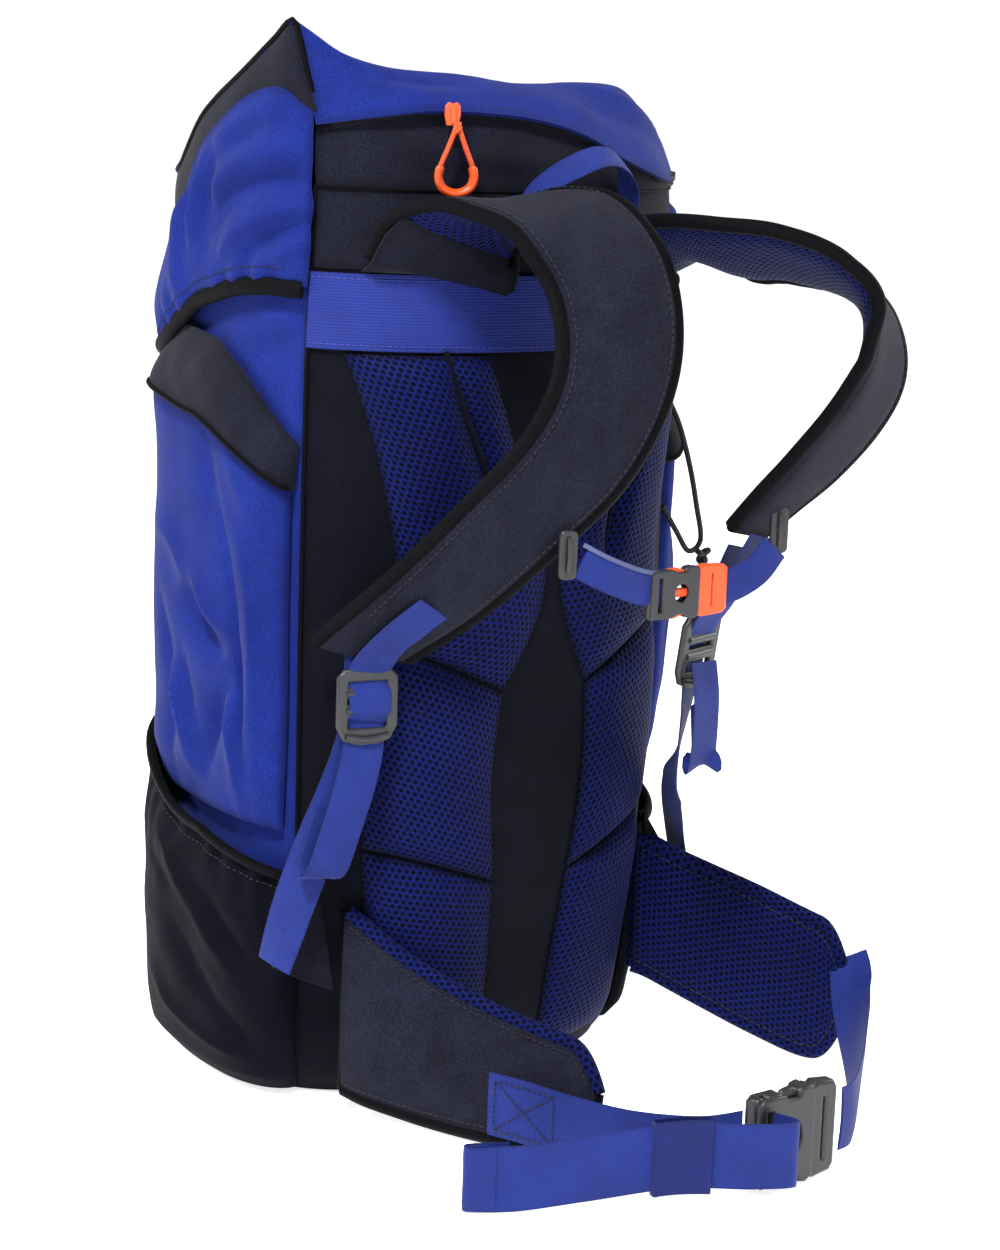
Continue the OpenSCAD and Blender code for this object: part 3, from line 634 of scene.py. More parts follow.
# ---------------------------------------------------------------- elastic cord, first of the pieces
BUNGEE = [[138, -64, 415], [146, -68, 397], [155, -70, 370], [162, -70, 345], [168, -69, 322],
          [159, -68, 315],
          [149, -67, 328], [138, -65, 345]]


def make_bungee():
    p = cr(BUNGEE, 5) * MM
    cu = bpy.data.curves.new("bungee_loop", "CURVE")
    cu.dimensions = "3D"
    cu.bevel_depth = 1.75 * MM
    cu.bevel_resolution = 4
    cu.use_fill_caps = True
    sp = cu.splines.new("POLY")
    sp.points.add(len(p) - 1)
    for q, c in zip(sp.points, p):
        q.co = (*c, 1)
    ob = bpy.data.objects.new("bungee_loop", cu)
    scene.collection.objects.link(ob)
    cu.materials.append(CORD)
    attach(ob, "bag")
    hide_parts("bungee_cord")
    a = np.linspace(0, 2 * np.pi, 60)
    knot = np.stack([170 + 2.6 * (np.sin(a) + 0.9 * np.sin(2 * a)), -69 + 2.4 * np.sin(3 * a),
                     312 + 2.6 * (np.cos(a) - 0.9 * np.cos(2 * a))], 1)
    k = tube("bungee_knot_tied", knot, 1.9, CORD, "bag", "bungee_knot")


make_bungee()


# ---------------------------------------------------------------- body panels
def zline(u):
    """Height of the lid's zip line round the back."""
    return np.interp(u, [208, 212, 225.5, 240, 260.5, 273, 284, 298, 315, 332],
                     [582, 584, 590, 594, 592, 583, 569, 557, 554, 556])


def panel(name, u0, u1, z0, z1, material, hides, t=2.2, off=0.0, folds=(), wave=1.0, du=1.0, dz=4.0):
    nu, nz = int(abs(u1 - u0) / du) + 1, int((np.max(z1) - z0) / dz) + 2
    U = np.broadcast_to(np.linspace(u0, u1, nu), (nz, nu))
    top = z1(U[0]) if callable(z1) else np.full(nu, float(z1))
    Z = z0 + (top - z0) * np.linspace(0, 1, nz)[:, None]
    P = at(U, Z, off)
    N = normals(P)
    s = np.minimum(np.minimum(np.arange(nu), np.arange(nu)[::-1])[None] / 5.0, 1)
    d = wave * (noise(P, 70, 3) * 1.2 + noise(P, 26, 4) * 0.5) * s + creases(P, folds)
    return shell(name, P + N * d[..., None], t, material, "bag", hides)


panel("back_cloth", SEAM_A, 540 - SEAM_A, 3, 500, BACK, "back_panel", wave=0.5)
panel("yoke_cloth", SEAM_A, 540 - SEAM_A, 500, 545, DARK, "yoke_panel", wave=0.6, off=0.5)


def lid_back():
    U = np.broadcast_to(np.linspace(SEAM_A, 540 - SEAM_A, 141), (16, 141))
    k = np.linspace(0, 1, 16)[:, None]
    Z = 545.3 + (zline(U) - 1 - 545.3) * k
    P = at(U, Z, 0.6)
    N = normals(P)
    d = 2.2 * np.sin(np.pi * k) * np.ones_like(U) + noise(P, 34, 5) * 1.0 + creases(P, [
        ([[-110, -88, 572], [-60, -116, 566], [0, -124, 560]], 6, 1.6),
        ([[-90, -100, 556], [-30, -122, 551]], 4, -1.2)])
    shell("lid_back_cloth", P + N * d[..., None], 2, DARK, "bag", "lid_back_panel")


lid_back()
panel("side_cloth_left", SEAM_B, SEAM_A, 3, 500, BLUE, "side_panel_left", folds=[
    ([[-135, -70, 470], [-143, -52, 455], [-149, -30, 448]], 7, -3),
    ([[-138, -66, 488], [-146, -48, 474]], 6, 2.4),
    ([[-134, -74, 440], [-141, -58, 462], [-150, -30, 478]], 6, 2)])
panel("side_cloth_right", 180 - SEAM_A, 180 - SEAM_B, 3, 500, BLUE, "side_panel_right",
      folds=[
    ([[135, -70, 470], [143, -52, 455], [149, -30, 448]], 7, -3),
    ([[138, -66, 488], [146, -48, 474]], 6, 2.4)])
panel("front_cloth", 180 - SEAM_B, SEAM_B, 3, 500, BLUE_DEEP, "front_panel", wave=1.6)


def base():
    k = np.linspace(0, 1, 14)
    u = np.arange(0, 360, 3.0)
    P = at(u[None], 3, 0)[0][None] * k[:, None, None]
    P[..., 2] = 2.6 + 1.6 * k[:, None] ** 8
    v, f, uv, d = grid_parts(P[:, ::-1] + 0.0, -2.2, wrap=True, N=np.broadcast_to([0, 0, -1.0], P.shape))
    piece("base_cloth", make_mesh("base_cloth", v, f, uv, d), DARK, "bag", "base_panel")


base()
zs = np.linspace(4, 545, 110)
for nm, uu in (("seam_back_left", SEAM_A), ("seam_back_right", 540 - SEAM_A)):
    tube(nm, at(uu, zs, 0.4), 1.5, BIND, "bag")
for nm, uu in (("seam_front_left", SEAM_B), ("seam_front_right", 180 - SEAM_B)):
    tube(nm, at(uu, zs[:100], 0.3), 1.2, BIND, "bag")
uu = np.linspace(SEAM_A, 540 - SEAM_A, 100)
tube("seam_yoke", at(uu, 545.0, 0.7), 0.9, BIND, "bag", sides=8)


def band():
    U = np.broadcast_to(np.linspace(SEAM_A, 540 - SEAM_A, 150), (20, 150))
    Z = 455 + 43 * np.linspace(0, 1, 20)[:, None] + 0 * U
    P = at(U, Z, 2.4)
    N = normals(P)
    P = P + N * (noise(P, 40, 6) * 0.6)[..., None]
    shell("yoke_band_web", P, 1.6, WEB_WIDE, "bag", "yoke_band")
    rows = []
    for z in (458, 495):
        q = at(uu, z, 2.6)
        rows += stitch_parts(q, unit(q * [1, 1, 0]), 2.6, 1.3, 0.4, 0.2)
    parts_piece("yoke_band_stitches", rows, THREAD_BLUE, "bag")


band()


def collar():
    """Snow collar: a gathered tube of thin cloth closed under the lid."""
    u = np.arange(0, 360, 2.0)
    rows = []
    for k in np.linspace(0, 1, 26):
        z = 486 + 76 * k
        o = -19 - 34 * k ** 3
        P = at(u, z, o)
        P = P * [1, 1, 1] + unit(P * [1, 1, 0]) * (np.sin(np.radians(u) * 26) * (0.6 + 3.2 * k))[:, None]
        rows.append(P)
    P = np.array(rows)
    shell("snow_collar_cloth", P, 0.8, COLLAR, "bag", "snow_collar", wrap=True)


collar()
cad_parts["frame_sheet"].data.materials.clear()
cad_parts["frame_sheet"].data.materials.append(SHEET)
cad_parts["frame_stays"].data.materials.clear()
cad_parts["frame_stays"].data.materials.append(METAL)


# ---------------------------------------------------------------- back pads
UPPER = [[[-104, 288], [-72, 276], [-30, 256]], [[-96, 330], [-50, 326], [-5, 322]],
         [[-106, 395], [-68, 395], [-30, 398]], [[-121, 453], [-84, 453], [-48, 453]]]
MIDDLE = [[[-105, 163], [-66, 152], [-28, 138]], [[-106, 225], [-70, 215], [-34, 200]],
          [[-104, 286], [-72, 274], [-31, 254]]]
LOWER = [[[-94, 18], [-60, 17], [-22, 16]], [[-95, 42], [-62, 42], [-23, 42]],
         [[-98, 90], [-64, 84], [-24, 76]],
         [[-105, 161], [-66, 150], [-28, 136]]]


def other(rows):
    return [[[-q[0], q[1]] for q in reversed(r)] for r in rows]


def pad(name, rows, hides, seam=None):
    n, m = 64, 56
    fine = np.array([resample(r, m) for r in rows])
    G = np.stack([resample(fine[:, j], n) for j in range(m)], 1)
    a = np.linspace(0, 1, m)[None]
    b = np.linspace(0, 1, n)[:, None]
    da = np.minimum(a, 1 - a) * 75
    db = np.minimum(b, 1 - b) * np.ptp(G[..., 1])
    crown = (1 - np.exp(-(da / 11.0) ** 1.1)) * (1 - np.exp(-(db / 9.0) ** 1.1))
    P0 = at(ub(G[..., 0], G[..., 1]), G[..., 1], 0)
    o = 1.8 + 9.4 * crown + (noise(P0, 45, 7) * 0.8 + noise(P0, 20, 8) * 0.35) * crown
    if seam is not None:
        line = at(ub(seam[:, 0], seam[:, 1]), seam[:, 1], 0)
        o = o + creases(P0, [(line, 5.5, -10.5)]) * crown
    P = at(ub(G[..., 0], G[..., 1]), G[..., 1], o)
    inner = at(ub(G[..., 0], G[..., 1]), G[..., 1], 0.9)
    shell(name, P, 1.0, MESH, "bag", hides,
          N=unit(P - inner) * (np.linalg.norm(P - inner, axis=-1))[..., None])


SEAM_UP = resample([[-74, 456], [-62, 420], [-50, 389], [-40, 350], [-36, 322]], 24)
for side, fn in (("left", lambda r: r), ("right", other)):
    mir = np.array([-1 if side == "right" else 1, 1])
    pad("pad_upper_" + side, fn(UPPER), "back_pads_upper", SEAM_UP * mir)
    line = SEAM_UP * mir
    tube("pad_seam_" + side, at(ub(line[:, 0], line[:, 1]), line[:, 1], 3.4), 1.5, BACK, "bag",
         sides=8)
    pad("pad_middle_" + side, fn(MIDDLE), "back_pads_middle")
    pad("pad_lower_" + side, fn(LOWER), "back_pads_lower")


# ---------------------------------------------------------------- haul loop
HAUL = [[-30, -128, 540], [-22, -132, 549], [-6, -137, 559], [14, -139, 566], [31, -136, 563],
        [42, -131, 550],
        [45, -127, 536]]
HAUL_W = [[0.2, 0.8, 0.5], [0.2, 0.8, 0.5], [0, 0.8, 0.6], [0, 0.8, 0.6], [0, 0.8, 0.6], [-0.2, 0.8, 0.5],
          [-0.2, 0.8, 0.5]]
webbing("haul_loop_web", [(HAUL, HAUL_W, 17, 1.7, 60, 0.6)], WEB, "bag", hides="haul_loop")


# ---------------------------------------------------------------- side pockets
def patch_grid(rows, n, m):
    fine = np.array([resample(r, m) for r in rows])
    G = np.stack([resample(fine[:, j], n) for j in range(m)], 1)
    return G, np.linspace(0, 1, n)[:, None] + np.zeros((1, m)), np.linspace(0, 1,
            m)[None] + np.zeros((n, 1))


POCKET = [[[151, 180], [178, 174], [204, 170]], [[150, 240], [178, 236], [205, 232]],
          [[150, 330], [178, 320], [205, 310]], [[150, 423], [178, 412], [205, 372]]]
CAP = [[[149, 424], [178, 413.4], [206, 373]], [[149, 434], [178, 440], [206.5, 386]],
       [[150, 442], [178, 458], [207, 400]]]


def side_pocket(side, flip):
    rows = flip_u(POCKET) if flip else POCKET
    sg = -1 if flip else 1
    G, b, a = patch_grid(rows, 130, 90)
    a = 1 - a if flip else a
    U, Z = G[..., 0], G[..., 1]
    edge = np.clip(1 - np.abs(2 * a - 1) ** 4, 0, 1) ** 0.5
    low = np.clip(b / 0.12, 0, 1) ** 0.7
    o = 3 + 12.5 * edge * (0.25 + 0.75 * low)
    P = at(U, Z, o)
    N = normals(P)
    M = P * [sg, 1, 1]
    folds = [([[-163, -14, 372], [-161, -28, 335], [-159, -36, 300], [-159, -38, 250], [-158, -40, 186]],
              3.0, -4.0),
             ([[-160, -34, 352], [-157, -46, 310], [-157, -48, 250], [-156, -48, 190]], 5, 3.4),
             ([[-164, 14, 312], [-166, -2, 290], [-160, -26, 268]], 10, -6.0),
             ([[-166, 4, 318], [-164, -14, 296], [-158, -34, 286]], 8, 4.6),
             ([[-162, 34, 262], [-166, 12, 220], [-166, 2, 184]], 7, 5.6),
             ([[-166, 0, 186], [-164, -12, 220], [-159, -32, 262]], 8, -5.6),
             ([[-166, 18, 268], [-166, 8, 230], [-165, 0, 194]], 5, -4.6),
             ([[-161, -26, 250], [-160, -34, 216], [-158, -38, 184]], 6, 4.2),
             ([[-160, 48, 300], [-165, 30, 240], [-163, 34, 190]], 6, -3.4),
             ([[-158, 56, 340], [-165, 26, 330], [-166, 8, 300]], 9, 3.0),
             ([[-165, -4, 404], [-164, -10, 380], [-165, -12, 350]], 8, -2.6),
             ([[-160, -26, 392], [-158, -36, 374], [-152, -46, 350]], 6, 2.6)]
    gather = np.exp(-b * 245 / 14) * np.sin((U * 0.8 + noise(M, 22, 12) * 3.0)) * 1.4 * np.clip(b * 30, 0,
            1)
    d = creases(M, folds) * 1.3 + gather + noise(M, 60, 9) * 2.4 + noise(M, 26, 10) * 1.2
    d = d * np.clip(edge * 1.6, 0, 1)
    P = P + N * np.maximum(d, 2.4 - o)[..., None]
    hides = ["side_pocket_" + side]
    shell("side_pocket_cloth_" + side, P, 1.6, BLUE, "bag", hides)
    # cap
    rows = flip_u(CAP) if flip else CAP
    G, b, a = patch_grid(rows, 40, 90)
    a = 1 - a if flip else a
    U, Z = G[..., 0], G[..., 1]
    edge = np.clip(1 - np.abs(2 * a - 1) ** 5, 0, 1) ** 0.5
    o = 3.0 + (17.0 - 13.5 * b ** 1.3) * edge
    P = at(U, Z, o)
    N = normals(P)
    M = P * [sg, 1, 1]
    d = noise(M, 36, 13) * 1.6 + noise(M, 15, 14) * 0.6 + creases(M, [
        ([[-166, 20, 430], [-160, -14, 446], [-150, -46, 430]], 7, 1.6),
        ([[-160, -30, 420], [-150, -50, 396]], 5, -1.6)])
    P = P + N * (d * np.clip(edge * 1.5, 0, 1) * np.clip(4 * b + 0.25, 0, 1))[..., None]
    shell("pocket_cap_cloth_" + side, P, 1.8, DARK, "bag", ["pocket_cap_" + side])
    lip = P[0] + N[0] * 0.2 + [0, 0, 0.6]
    tube("pocket_cap_lip_" + side, lip[::2], 1.5, BIND, "bag", sides=8)


side_pocket("left", False)
side_pocket("right", True)

BOTTLE = [[[126, 4], [150, 4], [180, 4], [209, 4]], [[125, 14], [150, 14], [180, 14], [209, 14]],
          [[125, 40], [150, 40], [180, 40], [209, 40]], [[125, 90], [150, 86], [180, 78], [209, 72]],
          [[125, 150], [150, 140], [180, 118], [209, 105]],
          [[125, 212], [150, 196], [180, 160], [209, 140]]]


def bottle_pocket(side, flip):
    rows = flip_u(BOTTLE) if flip else BOTTLE
    sg = -1 if flip else 1
    G, b, a = patch_grid(rows, 120, 120)
    a = 1 - a if flip else a
    U, Z = G[..., 0], G[..., 1]
    arc = 180 - U if flip else U
    edge = np.clip(1 - np.abs(2 * a - 1) ** 4, 0, 1) ** 0.5
    peak = np.interp(b, [0, 0.06, 0.2, 0.45, 0.75, 1], [13, 17, 18, 20, 20, 15])
    o = 2.6 + (peak - 2.6) * edge
    o = o + 8 * np.exp(-((arc - 138) / 16) ** 2) * np.exp(-(Z / 70) ** 2) * np.clip((arc - 125) / 8, 0, 1)
    P = at(U, Z, o)
    N = normals(P)
    M = P * [sg, 1, 1]
    gather = np.exp(-(1 - b) * 170 / 18) * np.sin(arc * 0.9 + 3.2 * noise(M, 26, 16)) * 1.5
    folds = [([[-160, 50, 150], [-166, 10, 120], [-160, -40, 70]], 8, 3.0),
             ([[-166, 30, 100], [-163, -10, 60], [-150, -50, 30]], 8, -3.4),
             ([[-150, 66, 60], [-158, 20, 36], [-150, -46, 22]], 6, 2.2),
             ([[-163, -6, 128], [-160, -28, 104], [-152, -46, 86]], 6, -2.4),
             ([[-150, 74, 150], [-160, 46, 128], [-166, 20, 118]], 6, -2.0)]
    d = (creases(M, folds) * 1.3 + gather + noise(M, 46, 17) * 2.4 + noise(M, 20,
            18) * 0.9) * np.clip(edge * 1.6, 0, 1)
    d = d * np.clip(b * 6, 0.2, 1)
    rim = P[-1] + N[-1] * 0.5
    P = P + N * np.maximum(d, 1.4 - o)[..., None]
    shell("bottle_pocket_cloth_" + side, P, 1.4, STRETCH, "bag", ["bottle_pocket_" + side])
    tube("bottle_binding_" + side, resample(rim, 160) + [0, 0, 1.6], 3.0, BIND, "bag",
         ["bottle_bindings"],
         sides=14, squash=1.4)
    q = resample(P[-7] + N[-7] * 0.3, 200)
    parts_piece("bottle_stitches_" + side, stitch_parts(q, unit(q * [1, 1, 0]), 2.6, 1.6, 0.4), THREAD,
                "bag")


bottle_pocket("left", False)
bottle_pocket("right", True)


# ---------------------------------------------------------------- lid
HEM = [[-28, 489], [-15, 490], [-2, 484], [8, 466], [20, 450], [40, 442], [90, 438], [140, 442], [160, 450],
       [172, 466], [182, 484], [195, 490], [208, 489]]
TOP_ROWS = [
    [[-133, -67, 579], [-110, -95, 585], [-82, -112, 589], [-32, -125, 587], [11, -126.5, 578],
     [44, -125, 564],
     [81, -115, 553], [110, -93, 550], [126, -68, 551]],
    [[-137, -62, 610], [-112, -84, 603], [-84, -97, 602], [-33, -105, 601], [10, -107, 596],
     [44, -106, 587],
     [82, -98, 578], [112, -76, 572], [130, -54, 566]],
    [[-142, -57, 636], [-120, -67, 621], [-92, -73, 610.5], [-46, -75, 608], [-8, -75, 605], [38, -75, 605],
     [74, -72, 604], [96, -60, 600], [112, -50, 592], [132, -42, 574]],
    [[-146, -32, 619], [-110, -36, 602], [-60, -40, 598], [0, -42, 597], [55, -42, 598], [95, -36, 597],
     [120, -28, 590], [142, -18, 573]],
    [[-147, -2, 600], [-110, 0, 592], [-50, 0, 588], [0, 0, 588], [60, 0, 590], [112, 0, 586],
     [146, 2, 572]],
    [[-145, 36, 577], [-100, 38, 577], [0, 40, 578], [95, 38, 576], [145, 34, 562]],
    [[-139, 64, 553], [-100, 74, 561], [0, 80, 564], [100, 74, 559], [139, 64, 549]],
    [[-127, 86, 545], [-90, 98, 545], [0, 105, 546], [90, 98, 545], [127, 86, 543]]]


def lid_top_grid(n, m):
    rows = np.array([resample(r, m) for r in TOP_ROWS])
    return np.stack([cr(rows[:, j], n) for j in range(m)], 1)


TOP = lid_top_grid(14, 120)


def lid_top():
    P = TOP.copy()
    N = -normals(P) if normals(P)[40, 60, 2] < 0 else normals(P)
    n, m = P.shape[:2]
    a = np.minimum(np.arange(m), np.arange(m)[::-1])[None] / 10.0
    b = np.minimum(np.arange(n), np.arange(n)[::-1])[:, None] / 8.0
    hold = np.clip(a, 0, 1) * np.clip(b, 0, 1)
    folds = [([[-138, -60, 622], [-100, -84, 606], [-50, -96, 603]], 7, -3.2),
             ([[-120, -66, 618], [-80, -76, 606], [-20, -80, 604]], 6, 2.4),
             ([[40, -80, 604], [80, -86, 592], [112, -74, 575]], 8, 3.0),
             ([[20, -104, 598], [60, -104, 588], [96, -90, 574]], 6, -2.6),
             ([[-120, 10, 588], [0, -10, 594], [90, -6, 588]], 14, -4.0),
             ([[-90, 60, 566], [0, 30, 582], [70, 40, 572]], 12, 3.0)]
    d = (creases(P, folds) + noise(P, 52, 21) * 2.2 + noise(P, 22, 22) * 0.8) * hold
    P = P + N * d[..., None]
    v, f, uv, e = grid_parts(P, 2.0, N=N)
    me = make_mesh("lid_top_cloth", v, f, uv, e)
    ob = bpy.data.objects.new("lid_top_cloth", me)
    scene.collection.objects.link(ob)
    me.materials.append(BLUE)
    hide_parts("lid_shell")
    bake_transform(ob)
    return P


TOP = lid_top()

# rim points by angle from the back left corner, over the front, to the back right corner
RIM = [(208, [-132, -66, 588]), (205, [-137, -62, 610]), (201, [-142, -57, 635]), (194, [-145, -42, 625]),
       (187, [-147, -18, 609]), (180, [-147, -2, 600]), (172, [-146, 17, 590]), (164, [-145, 36, 577]),
       (156, [-139, 64, 553]), (146, [-127, 86, 545]), (132, [-90, 98, 545]), (90, [0, 105, 546]),
       (48, [90, 98, 545]), (34, [127, 86, 543]), (24, [139, 64, 549]), (14, [145, 34, 562]),
       (2, [146, 2, 572]),
       (-8, [142, -18, 573]), (-16, [132, -42, 574]), (-22, [130, -54, 566]), (-28, [124, -66, 556])]
SKIRT_TOP = [(208, [-134, -66, 586]), (205, [-138, -62, 590]), (200, [-146, -50, 599]),
             (190, [-149, -25, 595]),
             (180, [-151, 0, 582]), (170, [-149, 30, 562]), (162, [-145, 52, 536]), (154, [-139, 70, 524]),
             (144, [-126, 90, 521]), (130, [-92, 102, 521]), (90, [0, 108.5, 521]), (50, [92, 102, 521]),
             (36, [126, 90, 520]), (26, [139, 70, 524]), (16, [146, 48, 532]), (6, [149, 24, 546]),
             (-4, [149, 0, 553]),
             (-14, [141, -34, 554]), (-22, [132, -56, 550]), (-28, [126, -66, 546])]
SKIRT_U = np.linspace(208, -28, 420)


def by_angle(pairs, u):
    p = np.array([q[1] for q in pairs], float)
    a = np.array([-q[0] for q in pairs], float)
    fine = cr(np.concatenate([a[:, None], p], 1), 8)
    return np.stack([np.interp(-u, fine[:, 0], fine[:, i]) for i in (1, 2, 3)], 1)


def lid_side():
    u = SKIRT_U
    top = by_angle(SKIRT_TOP, u)
    fine = cr(np.array(HEM, float), 6)
    hz = np.interp(u, fine[:, 0], fine[:, 1])
    over = np.clip(np.sin(np.radians((u + 28) * 180 / 236)), 0, 1) ** 0.4
    o = 4.5 + 6.5 * over
    n = 60
    rows = []
    for k in np.linspace(0, 1, n):
        low = at(u, hz + (top[:, 2] - hz) * k, o + 7.0 * math.sin(math.pi * min(1, k * 1.1)) ** 0.8 * over)
        w = max(0.0, (k - 0.25) / 0.75) ** 1.6
        q = low * (1 - w) + top * w
        q[:, 2] = hz + (top[:, 2] - hz) * k
        rows.append(q)
    P = np.array(rows)[:, ::-1]
    uu = u[::-1]
    N = normals(P)
    k = np.linspace(0, 1, n)[:, None]
    M = P.copy()
    folds = [([[-136, -68, 566], [-148, -40, 561], [-155, -12, 548], [-158, 10, 528]], 9, 5.0),
             ([[-137, -66, 548], [-148, -42, 546], [-155, -14, 534], [-158, 4, 516]], 7, -5.5),
             ([[-134, -72, 536], [-146, -48, 530], [-154, -22, 516], [-158, -8, 500]], 6, 5.0),
             ([[-136, -68, 524], [-147, -46, 516], [-153, -28, 500]], 5, -5.0),
             ([[-138, -66, 512], [-148, -44, 504]], 5, 3.4),
             ([[-152, 20, 566], [-157, 18, 540], [-159, 24, 506]], 7, 4.2),
             ([[-154, 6, 556], [-158, 8, 528], [-159, 10, 500]], 6, -4.6),
             ([[-150, 44, 540], [-155, 38, 510], [-156, 34, 478]], 7, 3.4),
             ([[-150, 34, 552], [-156, 30, 520], [-158, 28, 490]], 5, -3.4),
             ([[-144, -48, 594], [-152, -18, 580], [-154, 8, 562]], 12, 3.2),
             ([[-146, -44, 578], [-153, -16, 566], [-156, 10, 552]], 8, -2.6),
             ([[134, -66, 535], [148, -40, 520], [155, -8, 500]], 7, 4.0),
             ([[138, -60, 545], [150, -28, 530], [157, 8, 508]], 7, -4.0)]
    g = np.exp(-k * 110 / 16) * np.sin(uu * 0.95 + 3.0 * noise(M, 28, 25)) * 2.0
    g = g * np.clip((uu + 28) / 14, 0, 1) * np.clip((208 - uu) / 14, 0, 1)
    hold = np.clip((1 - k) * 8, 0, 1)
    d = (creases(M, folds) * 1.35 + noise(M, 40, 26) * 2.4 + noise(M, 18, 27) * 1.0) * hold + g
    smooth_hem = P[0] + N[0] * 0.6
    P = P + N * np.maximum(d, -3.6)[..., None]
    shell("lid_side_cloth", P, 1.8, BLUE, "lid", ["lid_skirt"])
    # dark strip between the side and the top
    strip = []
    tp = by_angle(SKIRT_TOP, uu)
    rm = by_angle(RIM, uu)
    for w in np.linspace(0, 1, 12):
        strip.append(tp * (1 - w) + rm * w)
    S = np.array(strip)
    NS = normals(S)
    ks = np.linspace(0, 1, 12)[:, None]
    S = S + NS * (np.sin(np.pi * ks) * (1.2 + noise(S, 30, 28) * 1.2))[..., None]
    shell("lid_rim_cloth", S, 1.8, DARK, "lid")
    tube("lid_rim_piping", rm[::3] + [0, 0, 0.4], 1.8, BIND, "lid", sides=8)
    # hem: elastic binding
    tube("lid_hem_binding", smooth_hem[::3] + [0, 0, -2.0], 3.4, BIND, "lid",
         ["lid_binding"], sides=14,
         squash=1.5)
    st = P[5] + N[5] * 0.3
    parts_piece("lid_hem_stitches", stitch_parts(st[8:-8], N[5][8:-8], 2.6, 1.6, 0.42), THREAD, "lid")


lid_side()


def lid_zip():
    u = np.linspace(213, 327, 160)
    z = zline(u)
    P = np.array([at(u, z - 7 + 6.5 * k, 3.0) for k in np.linspace(0, 1, 5)])
    shell("lid_zip_tape", P, 0.9, TAPE, "bag", ["lid_zip"])
    q = at(u, z - 2.6, 3.6)
    parts = []
    s = np.r_[0, np.cumsum(np.linalg.norm(np.diff(q, axis=0), axis=1))]
    t = np.arange(0, s[-1], 2.2)
    c = np.stack([np.interp(t, s, q[:, i]) for i in range(3)], 1)
    ax = unit(np.gradient(c, axis=0))
    nn = unit(c * [1, 1, 0])
    for k in range(len(c)):
        sg = 1 if k % 2 else -1
        up = np.cross(nn[k], ax[k]) * sg
        w, h, l = 1.3, 0.7, 0.7
        v = np.array([c[k] + up * (x * w + 0.5) + ax[k] * y * l + nn[k] * zz * h
                      for x in (-1, 1) for y in (-1, 1) for zz in (-1, 1)])
        f = [[0, 1, 3, 2], [4, 6, 7, 5], [0, 4, 5, 1], [2, 3, 7, 6], [0, 2, 6, 4], [1, 5, 7, 3]]
        parts.append((v, f, v[:, :2], np.full(8, 50.0)))
    parts_piece("lid_zip_teeth", parts, BLACK, "bag", sharp=30)


lid_zip()


def slider_parts(centre, turn, s=1.0):
    """Zip slider: two shields with a bridge."""
    m = Matrix.Rotation(math.radians(turn), 4, "Z")
    shield = [(-3.2, 4.5), (-2.0, 6), (0, 5.2), (2.0, 6), (3.2, 4.5), (3.4, 0), (2.4, -4.5), (-2.4, -4.5),
              (-3.4, 0)]
    shield = [(x * s, z * s) for x, z in shield]
    c = np.array(centre, float)
    rot = np.array(m.to_3x3())
    out = [plate_mesh([shield], 1.4 * s, 0.5 * s, m, c + rot @ [0, -1.7 * s, 0]),
           plate_mesh([shield], 1.2 * s, 0.4 * s, m, c + rot @ [0, 1.2 * s, 0]),
           plate_mesh([rounded(-0.9 * s, 0.9 * s, -3.6 * s, 3.4 * s, 0.8 * s)], 3.4 * s, 0.5 * s, m,
                      c + rot @ [0, -2.4 * s, 0])]
    return out


parts_piece("lid_slider", slider_parts([-77, -118.5, 587], -25, 1.1), ORANGE, "lid_zip_slider",
            ["lid_zip_slider"], sharp=35)


def pull(name, pivot, turn, length, wide, body, hides):
    """Cord loop with a moulded grip at its lower end."""
    m = np.array(Matrix.Rotation(math.radians(turn), 4, "Z").to_3x3())
    c = np.array(pivot, float)
    w, l = wide / 2, length
    pts = [[0.8, 0, 0], [1.2, -0.6, -4], [w * 0.5, -0.8, -l * 0.38], [w * 0.86, -0.8, -l * 0.62],
           [w * 0.95, -0.8, -l * 0.78],
           [w * 0.7, -0.8, -l * 0.93], [0, -0.8, -l], [-w * 0.7, -0.8, -l * 0.93],
           [-w * 0.95, -0.8, -l * 0.78],
           [-w * 0.86, -0.8, -l * 0.62], [-w * 0.5, -0.8, -l * 0.38], [-1.2, -0.6, -4], [-0.8, 0, 0]]
    q = resample(pts, 70) @ m.T + c
    parts_piece(name + "_cord", [tube_parts(q, 1.5, 10)], ORANGE_CORD, body, hides)
    g = resample(pts[3:10], 40) @ m.T + c
    rad = 3.1 * np.clip(np.minimum(np.arange(40), np.arange(40)[::-1]) / 3.0 + 0.75, 0, 1)
    parts_piece(name + "_grip", [tube_parts(g, rad, 12, 0.75)], ORANGE, body)
    k = resample([[1.6, -1, -3], [0, -2.6, -4.4], [-1.6, -1, -6], [0, 1.2, -5], [1.6, -1, -4]],
                 24) @ m.T + c
    parts_piece(name + "_wrap", [tube_parts(k, 1.2, 8)], ORANGE_CORD, body)


pull("lid_pull", [-77, -123.5, 583.5], -25, 39, 21, "lid_zip_pull", ["lid_zip_pull"])


